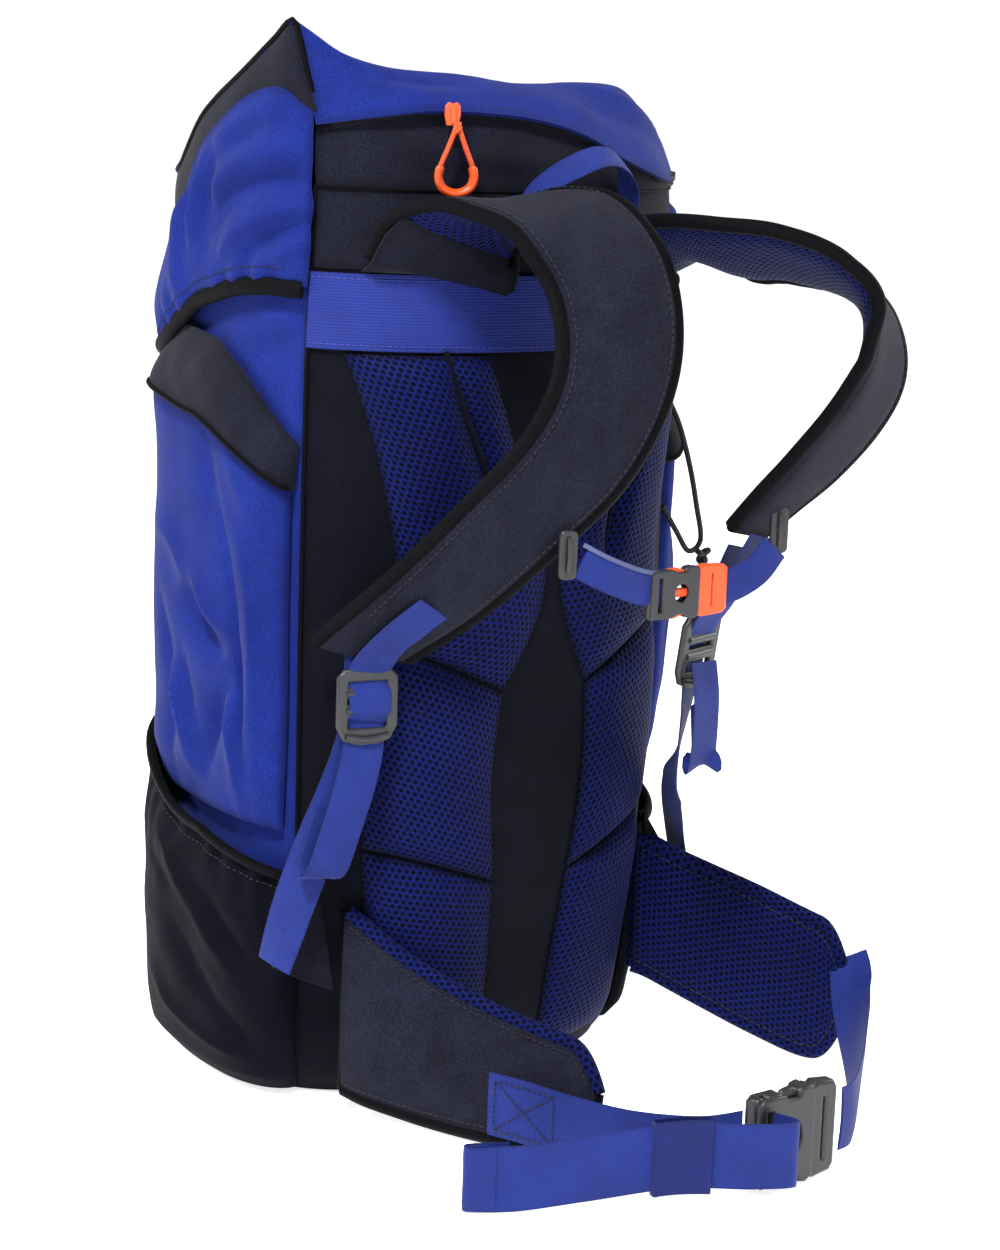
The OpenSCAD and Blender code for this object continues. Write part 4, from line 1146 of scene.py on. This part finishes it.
# ---------------------------------------------------------------- shoulder straps
STRAP_L = [[-77, -111, 499], [-75, -122, 520], [-66, -149, 538], [-50, -183, 535], [-37, -207, 510],
           [-34, -219, 476],
           [-40, -220, 440], [-54, -208, 403], [-76, -182, 365], [-98, -152, 328], [-116, -118, 296]]
STRAP_LW = [[0.89, -0.46, 0.07], [1, -0.36, 0], [1, -0.1, 0.1], [1, -0.1, 0.1], [1, -0.15, 0.1],
            [1, -0.15, 0.05],
            [1, -0.2, 0], [0.9, -0.3, -0.2], [0.8, -0.3, -0.4], [0.8, -0.3, -0.5], [0.8, -0.3, -0.5]]
STRAP_B = [84, 82, 80, 78, 76, 74, 70, 64, 58, 54, 46]
STRAP_R = [[77, -128, 502], [73, -144, 512], [63, -172, 516], [65, -204, 517], [78, -228, 516],
           [98, -245, 507],
           [117, -255, 491], [127, -258, 467], [127, -256, 445], [118, -248, 422], [106, -232, 396],
           [95, -217, 376],
           [86, -200, 355]]
STRAP_RW = [[1, 0.45, 0], [1, 0.35, -0.2], [0.95, 0.3, -0.4], [0.85, 0.5, -0.45], [0.85, 0.5, -0.45],
            [0.85, 0.5, -0.45], [0.85, 0.5, -0.4], [0.85, 0.45, -0.3], [0.85, 0.4, -0.3],
            [0.85, 0.35, -0.3],
            [0.85, 0.3, -0.3], [0.85, 0.3, -0.3], [0.85, 0.3, -0.3]]
STRAP_RB = [84, 82, 80, 78, 76, 76, 74, 72, 68, 62, 54, 46, 36]


def section_frame(path, wdir, width, n, level=False):
    q = cr(np.concatenate([np.array(path, float), np.array(wdir, float), np.array(width, float)[:, None]],
                          1), 12)
    s = np.r_[0, np.cumsum(np.linalg.norm(np.diff(q[:, :3], axis=0), axis=1))]
    tt = np.linspace(0, s[-1], n)
    q = np.stack([np.interp(tt, s, q[:, i]) for i in range(7)], 1)
    p, w, b = q[:, :3], q[:, 3:6], q[:, 6]
    t = np.gradient(p, axis=0)
    if level:
        t[:, 2] = 0
    t = unit(t)
    w = unit(w - t * (w * t).sum(1, keepdims=True))
    return p, w, b, t, np.cross(t, w)


def padded_strap(name, path, wdir, width, body, hides, outer, inner, thick=12, seed=30, level=False, tip=0,
                 skew=0.0, top_edge=None,
                 trim=None):
    """Foam strap: an outer cover, a mesh lining and bound edges; its tip is rounded."""
    n, m = 150, 34
    p, w, b, t, nd = section_frame(path, wdir, width, n, level)
    s = np.r_[0, np.cumsum(np.linalg.norm(np.diff(p, axis=0), axis=1))]
    if tip:
        b = b * np.clip(1 - np.clip(1 - (s[-1] - s) / tip, 0, 1) ** 2.2 * 0.75, 0.05, 1)
    x = np.linspace(-1, 1, m)
    prof = (thick / 2) * (0.42 + 0.58 * (1 - np.abs(x) ** 5))
    P = p[:, None] + w[:, None] * (x[None, :, None] * (b[:, None, None] / 2 - 1.5))
    rough = noise(P, 32, seed) * 0.9 + noise(P, 13, seed + 1) * 0.3
    hold = 1 - np.abs(x)[None] ** 6
    top = P + nd[:, None] * (prof[None] + rough * hold)[..., None]
    low = P - nd[:, None] * (prof[None] + rough * hold * 0.7)[..., None]
    ND = np.broadcast_to(nd[:, None], P.shape)
    cut = (skew * np.clip(1 - (s[-1] - s) / 60.0, 0, 1) ** 1.5)[:, None] * (1 - x)[None] / 2
    slide = t[:, None] * cut[..., None]
    top, low = top + slide, low + slide
    # rows along the strap, columns across: the shells face outward on both sides
    v1, f1, uv1, e1 = grid_parts(top, 2.2, N=ND)
    sgn = np.sign((np.cross(np.gradient(top, axis=1), np.gradient(top, axis=0)) * ND).sum())
    f1 = f1 if sgn > 0 else f1[:, ::-1]
    piece(name + "_cover", make_mesh(name + "_cover", v1, f1, uv1, e1), outer, body, hides)
    v2, f2, uv2, e2 = grid_parts(low, 2.2, N=-ND)
    f2 = f2[:, ::-1] if sgn > 0 else f2
    piece(name + "_lining", make_mesh(name + "_lining", v2, f2, uv2, e2), inner, body)
    parts = []
    inset = 1.0
    for sg in (-1, 1):
        edge = p + w * (sg * (b[:, None] / 2 - inset)) + slide[:, 0 if sg < 0 else -1]
        if sg > 0 and top_edge is not None:
            parts_piece(name + "_rolled_edge", [tube_parts(edge, 4.6, 14)], top_edge, body)
        else:
            parts.append(tube_parts(edge, 4.4, 12))
    for k in (0, -1):
        e = np.linspace(-1, 1, 20)
        c = p[k] + w[k] * (e[:, None] * (b[k] / 2 - 1.0)) + t[k] * (np.interp(e, x, cut[k]))[:, None]
        parts.append(tube_parts(c, 3.7, 12))
    parts_piece(name + "_binding", parts, trim or BIND, body)
    rows = []
    seam_in = 6.5
    for sg in (-1, 1):
        line = p + w * (sg * (b[:, None] / 2 - seam_in)) + nd * (np.interp(1 - seam_in / (b / 2), x,
                prof))[:, None]
        rows += stitch_parts(line[3:-3], nd[3:-3], 2.8, 1.5, 0.45, 0.5)
    parts_piece(name + "_stitches", rows, THREAD, body)
    return p, w, b, t, nd


SL = padded_strap("shoulder_left", STRAP_L, STRAP_LW, STRAP_B, "bag", ["shoulder_strap_left"], PAD_DARK,
                  MESH, 12, 30, skew=30)
def root_cover(frame_, name):
    """Strip of dark cloth laid over the lining's lower end where a strap leaves the yoke."""
    p, w, b, _, nd = frame_
    s = np.r_[0, np.cumsum(np.linalg.norm(np.diff(p, axis=0), axis=1))]
    x = np.linspace(-1, 1, 30)
    rows = []
    xs = np.linspace(-113, -40, 30)
    rows.append(at(ub(xs, 499.0), 499.0, 3.4))
    for at_s, lift in ((1, 7.8), (9, 8.2), (16, 8.0), (23, 7.4), (26, 5.5)):
        i = int(np.argmin(np.abs(s - at_s)))
        c = p[i]
        rows.append(c + w[i] * (x[:, None] * (b[i] / 2 - 1.0)) - nd[i] * (lift * (1 - 0.25 * np.abs(x) ** 6))[:, None])
    P = np.array(rows)
    N = np.broadcast_to(-nd[:1, None], P.shape)
    v, f, uv, e = grid_parts(P, 1.2, N=N)
    f = f if (normals(P) * N).sum() > 0 else f[:, ::-1]
    piece(name, make_mesh(name, v, f, uv, e), DARK, "bag")


root_cover(SL, "shoulder_left_root")
padded_strap("shoulder_right", STRAP_R, STRAP_RW, STRAP_RB, "bag", ["shoulder_strap_right"], PAD_DARK,
             MESH, 12, 34)

# strap webbing
WEB_L = [[-118, -108, 288], [-120, -109, 272], [-121, -108, 244], [-128, -102, 210], [-141, -94, 170],
         [-151, -86, 132], [-158, -79, 97]]
WEB_LW = [[0.9, -0.3, -0.2], [0.95, -0.3, 0], [0.95, -0.3, 0], [0.9, -0.4, 0.1], [0.8, -0.6, 0.1],
          [0.6, -0.8, 0.1],
          [0.3, -1, 0.1]]
WEB_R = [[84, -196, 344], [74, -188, 312], [68, -181, 284], [70, -172, 240], [84, -150, 200],
         [112, -116, 174],
         [138, -90, 142], [158, -79, 97]]
WEB_RW = [[-0.9, -0.25, 0.2], [-0.9, -0.25, 0.1], [-0.95, -0.3, 0], [-0.8, -0.6, 0], [-0.6, -0.8, 0],
          [-0.4, -0.9, 0],
          [-0.3, -1, 0], [-0.2, -1, 0]]
ANCHOR_L = [[-103, -152, 316], [-111, -138, 303], [-117, -126, 291], [-120, -117, 280], [-121, -113, 270],
            [-121, -116.6, 262], [-121, -116.8, 254], [-121, -113, 247]]
ANCHOR_LW = [[0.9, -0.2, -0.3], [0.95, -0.25, -0.2], [0.95, -0.3, 0], [0.95, -0.3, 0], [0.95, -0.3, 0],
             [0.95, -0.3, 0], [0.95, -0.3, 0], [0.95, -0.3, 0]]
TAIL_L = [[-121, -110, 250], [-122, -113, 236], [-128, -115, 212], [-136, -110, 178], [-140, -106, 160],
          [-142, -100, 154], [-139, -97, 162], [-132, -100, 190]]
webbing("strap_web_left", [(WEB_L, WEB_LW, 25, 1.6, 90, 0.5), (ANCHOR_L, ANCHOR_LW, 25, 1.8, 50, 0.4),
                           (TAIL_L, [[0.95, -0.3, 0]] * 8, 24, 1.6, 90, 0.6)], WEB, "bag",
                           hides=["strap_webbing_left"])
ANCHOR_R = [[88, -210, 352], [80, -202, 330], [72, -196, 312], [67, -190, 300], [66, -186, 290]]
TAIL_R = [[66, -190, 276], [66, -194, 256], [68, -192, 232], [72, -186, 214], [78, -180, 212],
          [80, -178, 226],
          [76, -180, 250]]
webbing("strap_web_right", [(WEB_R, WEB_RW, 25, 1.6, 100, 0.5), (ANCHOR_R, [[-0.9, -0.25, 0.2]] * 5, 25,
        1.8, 40, 0.4),
                            (TAIL_R, [[-0.95, -0.2, 0]] * 7, 24, 1.6, 80, 0.6)], WEB, "bag",
                            hides=["strap_webbing_right"])


def ladder(name, centre, tilt, turn, w, hides):
    m = Matrix.Rotation(math.radians(turn), 4, "Z") @ Matrix.Rotation(math.radians(tilt), 4, "X")
    rot = np.array(m.to_3x3())
    c = np.array(centre, float)
    a = w * 0.68
    outer = [(-a * 0.8, w * 0.78), (a * 0.8, w * 0.78), (a, w * 0.62), (a, -w * 0.5), (a * 0.78, -w * 0.78),
             (a * 0.3, -w * 0.9), (-a * 0.3, -w * 0.9), (-a * 0.78, -w * 0.78), (-a, -w * 0.5),
             (-a, w * 0.62)]
    x = w * 0.52
    holes = [rounded(-x, x, w * 0.36, w * 0.6, 1.4), rounded(-x, x, -w * 0.02, w * 0.2, 1.4),
             rounded(-x, x, -w * 0.6, -w * 0.22, 2.4)]
    parts = [plate_mesh([outer] + holes, 4.2, 1.4, m, c)]
    for z in (w * 0.28, -w * 0.12):
        q = np.array([[-x, -1.6, z], [x, -1.6, z]]) @ rot.T + c
        parts.append(tube_parts(np.linspace(q[0], q[1], 6), 1.9, 10))
    lip = np.array([[-x, -2.4, -w * 0.72], [0, -3.4, -w * 0.8], [x, -2.4, -w * 0.72]])
    parts.append(tube_parts(resample(lip, 12) @ rot.T + c, 2.0, 10))
    parts_piece(name, parts, PLASTIC, "bag", hides, sharp=35)


ladder("ladder_left", [-121, -113.4, 256], 0, -15, 25, ["ladder_lock_left"])
ladder("ladder_right", [66, -184, 283], 8, 14, 25, ["ladder_lock_right"])


def wing(side, sg):
    tri = np.array([[-160, -78, 96], [-120, -84, 76], [-127, -72, 148]], float)
    n = 26
    rows = []
    for i in range(n):
        k = i / (n - 1)
        a, b = tri[1] * (1 - k) + tri[2] * k, tri[0]
        q = np.array([a + (b - a) * j * 0.96 for j in np.linspace(0, 1, 24)])
        rows.append(q)
    P = np.array(rows) * [sg, 1, 1]
    if sg > 0:
        P = P[:, ::-1]
    N = normals(P)
    P = P + N * (2.2 + noise(P, 24, 40) * 1.0)[..., None]
    shell("strap_wing_" + side, P, 3.2, DARK, "bag", ["strap_wings"])


wing("left", 1)
wing("right", -1)


# ---------------------------------------------------------------- sternum strap
def buckle_female_parts(w, m, c):
    """Open half of a side-release buckle, its mouth up."""
    rot = np.array(m.to_3x3())
    body = [(-w * 0.66, 0), (w * 0.66, 0), (w * 0.72, -w * 0.1), (w * 0.7, -w * 0.2),
            (w * 0.58, -w * 0.26), (w * 0.58, -w * 0.5),
            (w * 0.66, -w * 0.6), (w * 0.66, -w * 0.98), (w * 0.6, -w * 1.05), (-w * 0.6, -w * 1.05),
            (-w * 0.66, -w * 0.98),
            (-w * 0.66, -w * 0.6), (-w * 0.58, -w * 0.5), (-w * 0.58, -w * 0.26), (-w * 0.7, -w * 0.2),
            (-w * 0.72, -w * 0.1)]
    oval = [(w * 0.3 * math.cos(a), -w * 0.38 + w * 0.2 * math.sin(a)) for a in np.linspace(0, 2 * math.pi,
            24)[:-1]]
    slot = rounded(-w * 0.53, w * 0.53, -w * 0.96, -w * 0.8, w * 0.03)
    out = []
    for side in (-1, 1):
        out.append(plate_mesh([body, oval, slot], w * 0.1, w * 0.035, m, c + rot @ [0, side * w * 0.13, 0]))
    rail = rounded(-w * 0.66, w * 0.66, -w * 0.78, -w * 0.62, w * 0.05)
    out.append(plate_mesh([rail], w * 0.3, w * 0.06, m, c))
    out.append(plate_mesh([rounded(-w * 0.66, w * 0.66, -w * 1.06, -w * 0.97, w * 0.04)], w * 0.2,
                          w * 0.05, m, c))
    for sg in (-1, 1):
        out.append(plate_mesh([rounded(min(sg * w * 0.68, sg * w * 0.54),
                                       max(sg * w * 0.68, sg * w * 0.54), -w * 0.24, 0.0, w * 0.04)],
                              w * 0.3, w * 0.06, m, c))
    return out


def buckle_male_parts(w, m, c):
    head = [(-w * 0.62, w * 0.02), (w * 0.62, w * 0.02), (w * 0.7, w * 0.12), (w * 0.66, w * 0.42),
            (w * 0.58, w * 0.47),
            (-w * 0.58, w * 0.47), (-w * 0.66, w * 0.42), (-w * 0.7, w * 0.12)]
    slot = rounded(-w * 0.53, w * 0.53, w * 0.2, w * 0.34, w * 0.03)
    out = [plate_mesh([head, slot], w * 0.26, w * 0.06, m, c)]
    for sg in (-1, 1):
        arm = [(sg * w * 0.44, w * 0.06), (sg * w * 0.58, w * 0.06), (sg * w * 0.6, -w * 0.2),
               (sg * w * 0.7, -w * 0.36),
               (sg * w * 0.68, -w * 0.5), (sg * w * 0.54, -w * 0.58), (sg * w * 0.46, -w * 0.5),
               (sg * w * 0.46, -w * 0.2)]
        out.append(plate_mesh([arm], w * 0.15, w * 0.04, m, c))
    out.append(plate_mesh([rounded(-w * 0.09, w * 0.09, -w * 0.5, w * 0.06, w * 0.05)], w * 0.14, w * 0.04,
                          m, c))
    return out


def longer(parts, c, k):
    return [(np.asarray(c) + (v - np.asarray(c)) * [k, 1, 1], f, uv, d) for v, f, uv, d in parts]


STERN_L = [[-45, -208, 348], [-30, -213, 340], [-6, -213, 331], [14, -212, 327], [20, -212, 326]]
STERN_R = [[56, -212, 326], [66, -212, 326], [80, -217, 335], [90, -219, 347]]
SIDE_ON = Matrix.Rotation(math.radians(90), 4, "Y")
STERN_BUCKLE = np.array([36, -212, 325.0])
FEMALE_STRETCH, MALE_STRETCH = 1.6, 2.2
webbing("sternum_web_left", [(STERN_L, [0.2, 0, 1], 20, 1.6, 50, 0.4)], WEB, "sternum_left",
        hides=["sternum_webbing_left"])
q = resample(STERN_L, 40) + [0, -1.2, 9.4]
parts_piece("sternum_elastic", [strap_parts(q[::4], [0, 0, 1], 2.6, 1.0, 40, 0)], ELASTIC, "sternum_left")
webbing("sternum_web_right", [(STERN_R, [-0.2, 0, 1], 20, 1.6, 40, 0.4)], WEB, "sternum_right",
        hides=["sternum_webbing_right"])
parts_piece("sternum_buckle_left", longer(buckle_female_parts(20, SIDE_ON, STERN_BUCKLE), STERN_BUCKLE,
                                          FEMALE_STRETCH), PLASTIC, "sternum_left",
            ["sternum_female"], sharp=35)
parts_piece("sternum_buckle_right", longer(buckle_male_parts(20, SIDE_ON, STERN_BUCKLE), STERN_BUCKLE,
                                           MALE_STRETCH), ORANGE, "sternum_right",
            ["sternum_male"], sharp=35)


def slider_bar(name, centre, turn, hides):
    m = Matrix.Rotation(math.radians(turn), 4, "Z")
    c = np.array(centre, float)
    rot = np.array(m.to_3x3())
    parts = [plate_mesh([rounded(-4.5, 4.5, -13, 13, 2.5), rounded(-1.6, 1.6, -10, 10, 1.2)], 3.0, 0.9, m,
                        c)]
    parts.append(tube_parts(np.array([[0, -2.2, -10], [0, -3.4, 0], [0, -2.2, 10]]) @ rot.T + c, 1.5, 10))
    parts_piece(name, parts, PLASTIC, "bag", hides, sharp=35)


slider_bar("sternum_bar_left", [-54, -206.5, 352], -15, ["sternum_slider_left"])
slider_bar("sternum_bar_right", [94, -218, 357], -25, ["sternum_slider_right"])


# ---------------------------------------------------------------- hip belt
FIN_L = [[-113, -88, 70], [-102, -106, 60], [-84, -130, 48], [-66, -164, 40], [-52, -196, 37],
         [-36, -230, 35]]
FIN_LW = [[0, 0, 1], [0.1, 0, 1], [0.2, 0, 1], [0.3, 0, 1], [0.35, 0, 1], [0.35, 0, 1]]
FIN_LB = [112, 100, 86, 74, 66, 58]
FIN_R = [[113, -84, 93], [120, -91, 91], [130, -104, 84], [146, -122, 74], [166, -142, 62],
         [186, -170, 50], [198, -192, 48]]
FIN_RB = [86, 88, 88, 90, 92, 90, 80]
padded_strap("hip_left_fin", FIN_L, FIN_LW, FIN_LB, "hip_left", ["hip_fin_left"], PAD_DARK, MESH, 13, 44,
             True, 24, top_edge=MESH)
padded_strap("hip_right_fin", FIN_R, [[0, 0, 1]] * 7, FIN_RB, "hip_right", ["hip_fin_right"], MESH,
             PAD_DARK, 13, 48, True, 20, trim=MESH)
BELT_L = [[-78, -184, 30], [-66, -205, 28], [-50, -226, 23], [-30, -256, 20], [-9, -288, 23], [5, -308, 30]]
BELT_TAIL = [[16, -322, 31], [22, -334, 30], [14, -339, 31], [-8, -327, 31], [-40, -305, 31],
             [-84, -281, 25],
             [-116, -262, 20], [-138, -249, 20], [-139, -244, 20], [-118, -255, 20]]
BELT_R = [[76, -314, 31], [92, -308, 31], [122, -281, 34], [158, -243, 42], [184, -212, 54],
          [196, -198, 66], [200, -190, 72]]
BELT_RW = [[0, 0, 1], [0, 0, 1], [0.1, -0.1, 1], [0.3, -0.25, 1], [0.6, -0.4, 0.8], [0.8, -0.5, 0.5],
           [0.8, -0.5, 0.4]]
UPR = [0, 0, 1]
webbing("waist_web_left", [(BELT_L, UPR, 38, 1.7, 70, 0.4, True), (BELT_TAIL, UPR, 38, 1.7, 90, 0.4,
        True)], WEB, "hip_left",
        hides=["waist_webbing_left"])
tail = resample(BELT_TAIL[:7], 200)
tail = tail[(tail[:, 0] < -24) & (tail[:, 0] > -53) & (tail[:, 1] > -326)]
out_ = unit(np.cross(np.gradient(tail, axis=0), [0, 0, 1.0]))
out_ *= np.sign((out_ @ np.array([-0.57, -0.82, 0])).mean())
keeper = np.concatenate([tail + out_ * 2.6, (tail - out_ * 3.0)[::-1], tail[:1] + out_[:1] * 2.6])
webbing("waist_keeper", [(keeper[::4], UPR, 43, 1.3, 90, 0.0, True)], KEEP, "hip_left")
tip = resample([[-128, -256, 20], [-140, -249, 20], [-141, -244, 20], [-128, -252, 20]], 20)
webbing("waist_tail_hem", [(tip[::3], UPR, 37, 2.0, 30, 0.0, True)], WEB, "hip_left")
webbing("waist_web_right", [(BELT_R, BELT_RW, [38, 38, 38, 36, 30, 26, 26], 1.7, 80, 1.2)], WEB,
        "hip_right", hides=["waist_webbing_right"])
box_p, _, _, _, box_n = section_frame(BELT_L, [UPR] * 6, [38] * 6, 60, True)
box_s = np.r_[0, np.cumsum(np.linalg.norm(np.diff(box_p, axis=0), axis=1))]


def on_belt(s_, h):
    c = [np.array([np.interp(s_, box_s, arr[:, i]) for i in range(3)]) for arr in (box_p, box_n)]
    return c[0] + np.array([0, 0, h]) + c[1] * 1.3, c[1]


rows = []
for a, b in (((4, -15), (40, -15)), ((40, -15), (40, 15)), ((40, 15), (4, 15)), ((4, 15), (4, -15)),
             ((4, -15), (40, 15)),
             ((4, 15), (40, -15))):
    line = [on_belt(a[0] + (b[0] - a[0]) * k, a[1] + (b[1] - a[1]) * k) for k in np.linspace(0, 1, 10)]
    rows += stitch_parts([q[0] for q in line], [q[1] for q in line], 2.4, 1.0, 0.5, 0.2)
parts_piece("waist_box_stitches", rows, THREAD, "hip_left")
parts_piece("waist_buckle_left", buckle_female_parts(38, SIDE_ON, np.array([48, -314, 31.0])), PLASTIC,
            "hip_left",
            ["waist_female"], sharp=35)
parts_piece("waist_buckle_right", buckle_male_parts(38, SIDE_ON, np.array([48, -314, 31.0])), PLASTIC,
            "hip_right",
            ["waist_male"], sharp=35)


# ---------------------------------------------------------------- front: pocket, straps, loops, zips
def front_pocket():
    rows = [[[75, 90], [90, 88], [105, 90]], [[74, 150], [90, 150], [106, 150]],
            [[74, 300], [90, 300], [106, 300]],
            [[75, 368], [90, 374], [105, 368]]]
    G, b, a = patch_grid(rows, 90, 70)
    edge = (np.clip(1 - np.abs(2 * a - 1) ** 4, 0, 1) * np.clip(1 - np.abs(2 * b - 1) ** 8, 0, 1)) ** 0.5
    o = 2.6 + 16.5 * edge
    P = at(G[..., 0], G[..., 1], o)
    N = normals(P)
    d = (noise(P, 48, 50) * 2.0 + noise(P, 20, 51) * 0.8 + creases(P, [
        ([[-50, 120, 330], [0, 124, 260], [40, 122, 200]], 14, -2.4)])) * edge
    P = P + N * d[..., None]
    shell("front_pocket_cloth", P, 1.8, BLUE_DEEP, "bag", ["front_pocket"])


front_pocket()


def zip_run(name, points, normal_fn, width=14):
    """Zip tape with its two rows of teeth on the surface."""
    q = resample(points, 120)
    nn = normal_fn(q)
    ax = unit(np.gradient(q, axis=0))
    side = np.cross(nn, ax)
    P = np.array([q + side * (k * width / 2) + nn * 0.6 for k in np.linspace(-1, 1, 5)])
    N = np.broadcast_to(nn[None], P.shape)
    v, f, uv, e = grid_parts(P, 0.8, N=N)
    sgn = np.sign((normals(P) * N).sum())
    f = f if sgn > 0 else f[:, ::-1]
    piece(name + "_tape", make_mesh(name + "_tape", v, f, uv, e), TAPE, "bag")
    s = np.r_[0, np.cumsum(np.linalg.norm(np.diff(q, axis=0), axis=1))]
    parts = []
    for k, t in enumerate(np.arange(2, s[-1] - 2, 2.2)):
        c, n1, a1, s1 = (np.array([np.interp(t, s, arr[:, i]) for i in range(3)]) for arr in (q, nn, ax,
                side))
        c = c + n1 * 1.4
        off = 0.6 if k % 2 else -0.6
        v = np.array([c + s1 * (x * 1.5 + off) + a1 * y * 0.75 + n1 * z * 0.7 for x in (-1,
                1) for y in (-1, 1) for z in (-1, 1)])
        parts.append((v, [[0, 1, 3, 2], [4, 6, 7, 5], [0, 4, 5, 1], [2, 3, 7, 6], [0, 2, 6, 4], [1, 5, 7,
                3]], v[:, :2], np.full(8, 50.0)))
    parts_piece(name + "_teeth", parts, BLACK, "bag", sharp=30)


zip_run("front_zip", [at(u, 381, 1.6) for u in np.linspace(75, 107, 9)],
        lambda q: np.broadcast_to([0, 1.0, 0], q.shape))
zip_run("side_zip_left", [at(143, z, 1.6) for z in np.linspace(215, 412, 9)],
        lambda q: unit((q - [-90, 40, 0]) * [1, 1, 0]))
zip_run("side_zip_right", [at(37, z, 1.6) for z in np.linspace(215, 412, 9)],
        lambda q: unit((q - [90, 40, 0]) * [1, 1, 0]))
parts_piece("front_slider", slider_parts(at(100, 381, 8.0), 180, 1.2), BLACK, "front_zip_slider",
            ["front_zip_slider"], sharp=35)
pull("front_pull", at(100, 376, 0) + [0, 12.5, 0], 180, 34, 18, "front_zip_pull", ["front_zip_pull"])
parts_piece("side_slider_left", slider_parts(at(143, 370, 5), 133 + 90 + 180, 1.2), ORANGE,
            "side_zip_left",
            ["side_zip_slider_left"], sharp=35)
parts_piece("side_slider_right", slider_parts(at(37, 370, 5), -133 - 90 - 180, 1.2), ORANGE,
            "side_zip_right",
            ["side_zip_slider_right"], sharp=35)

AXE = [[0, 103, 30], [0, 112, 36], [0, 122, 52], [0, 124, 68], [0, 116, 80], [0, 107.5, 84]]
webbing("axe_loop_webs", [(np.array(AXE) + [x, 0, 0], [1, 0, 0], 20, 1.7, 50, 0.3) for x in (-38, 38)],
        WEB, "bag", hides=["axe_loops"])
runs = []
for x in (-80, 80):
    zz = np.array([14, 40, 100, 150, 200, 300, 392, 403.0])
    runs.append((at(uf(x, zz), zz, 2.0) + np.outer(np.clip((zz - 380) / 23, 0, 1), [0, 12, 0]), [1, 0, 0],
                 24, 1.7, 90, 0.3))
webbing("lid_strap_webs", runs, WEB, "bag", hides=["lid_straps"])
for side, x in (("left", -80), ("right", 80)):
    flatm = Matrix.Rotation(math.radians(180), 4, "Z")
    parts_piece("lid_buckle_female_" + side, buckle_female_parts(25, flatm, np.array([x, 119, 424.0])),
                BLACK, "bag",
                ["lid_buckle_" + side], sharp=35)
    parts_piece("lid_buckle_male_" + side, buckle_male_parts(25, flatm, np.array([x, 119, 424.0])), BLACK,
                "lid",
                ["lid_hook_" + side], sharp=35)
    hook = [[x, 119, 428], [x, 119, 436], [x, 119, 452], [x, 117, 490], [x, 114, 520], [x, 103, 544]]
    webbing("lid_strap_upper_" + side, [(hook, [1, 0, 0], 24, 1.7, 60, 0.3)], WEB, "lid")


# ---------------------------------------------------------------- studio
def studio():
    me = bpy.data.meshes.new("floor")
    me.from_pydata([(-12, -12, 0), (12, -12, 0), (12, 12, 0), (-12, 12, 0)], [], [(0, 1, 2, 3)])
    floor = bpy.data.objects.new("floor", me)
    scene.collection.objects.link(floor)
    t = Tree("floor")
    n = t.noise(3, 2.0, 0.5)
    t.out(t.mix(n, (0.9, 0.9, 0.9, 1), (0.93, 0.93, 0.93, 1)), t.math("MULTIPLY_ADD", n, 0.1, 0.8))
    t.bsdf.inputs["Emission Color"].default_value = (1, 1, 1, 1)
    t.bsdf.inputs["Emission Strength"].default_value = 0.75
    me.materials.append(t.m)
    k, m = 24, 12
    ring = [(9 * math.cos(a) * math.cos(b), 9 * math.sin(a) * math.cos(b), 9 * math.sin(b))
            for b in np.linspace(-0.5, 1, m + 1) * math.pi / 2 for a in np.arange(k) * 2 * math.pi / k]
    me = bpy.data.meshes.new("backdrop")
    me.from_pydata(ring, [], [(i * k + j, i * k + (j + 1) % k, (i + 1) * k + (j + 1) % k, (i + 1) * k + j)
                              for i in range(m) for j in range(k)])
    dome = bpy.data.objects.new("backdrop", me)
    scene.collection.objects.link(dome)
    white = Tree("backdrop")
    white.bsdf.inputs["Base Color"].default_value = (0, 0, 0, 1)
    white.bsdf.inputs["Specular IOR Level"].default_value = 0
    white.bsdf.inputs["Emission Color"].default_value = (1, 1, 1, 1)
    white.bsdf.inputs["Emission Strength"].default_value = 1.02
    me.materials.append(white.m)
    dome.visible_diffuse = dome.visible_glossy = dome.visible_transmission = dome.visible_shadow = False
    world = bpy.data.worlds.new("world")
    scene.world = world
    world.use_nodes = True
    world.node_tree.nodes["Background"].inputs[0].default_value = (1.0, 1.0, 1.0, 1)
    world.node_tree.nodes["Background"].inputs[1].default_value = 0.3
    scene.view_settings.view_transform = "Standard"
    for name, pos, size, power in (("key", (-1.7, -1.2, 3.0), 0.6, 170),
                                   ("fill", (-0.6, -3.4, 1.2), 1.8, 26),
                                   ("side", (-2.6, 2.2, 2.2), 0.9, 70), ("rim", (2.6, -0.4, 1.5), 1.4, 40)):
        lamp = bpy.data.lights.new(name, "AREA")
        lamp.energy, lamp.size = power, size
        ob = bpy.data.objects.new(name, lamp)
        ob.location = pos
        ob.rotation_euler = (Vector((0, 0, 0.3)) - Vector(pos)).to_track_quat("-Z", "Y").to_euler()
        scene.collection.objects.link(ob)


studio()
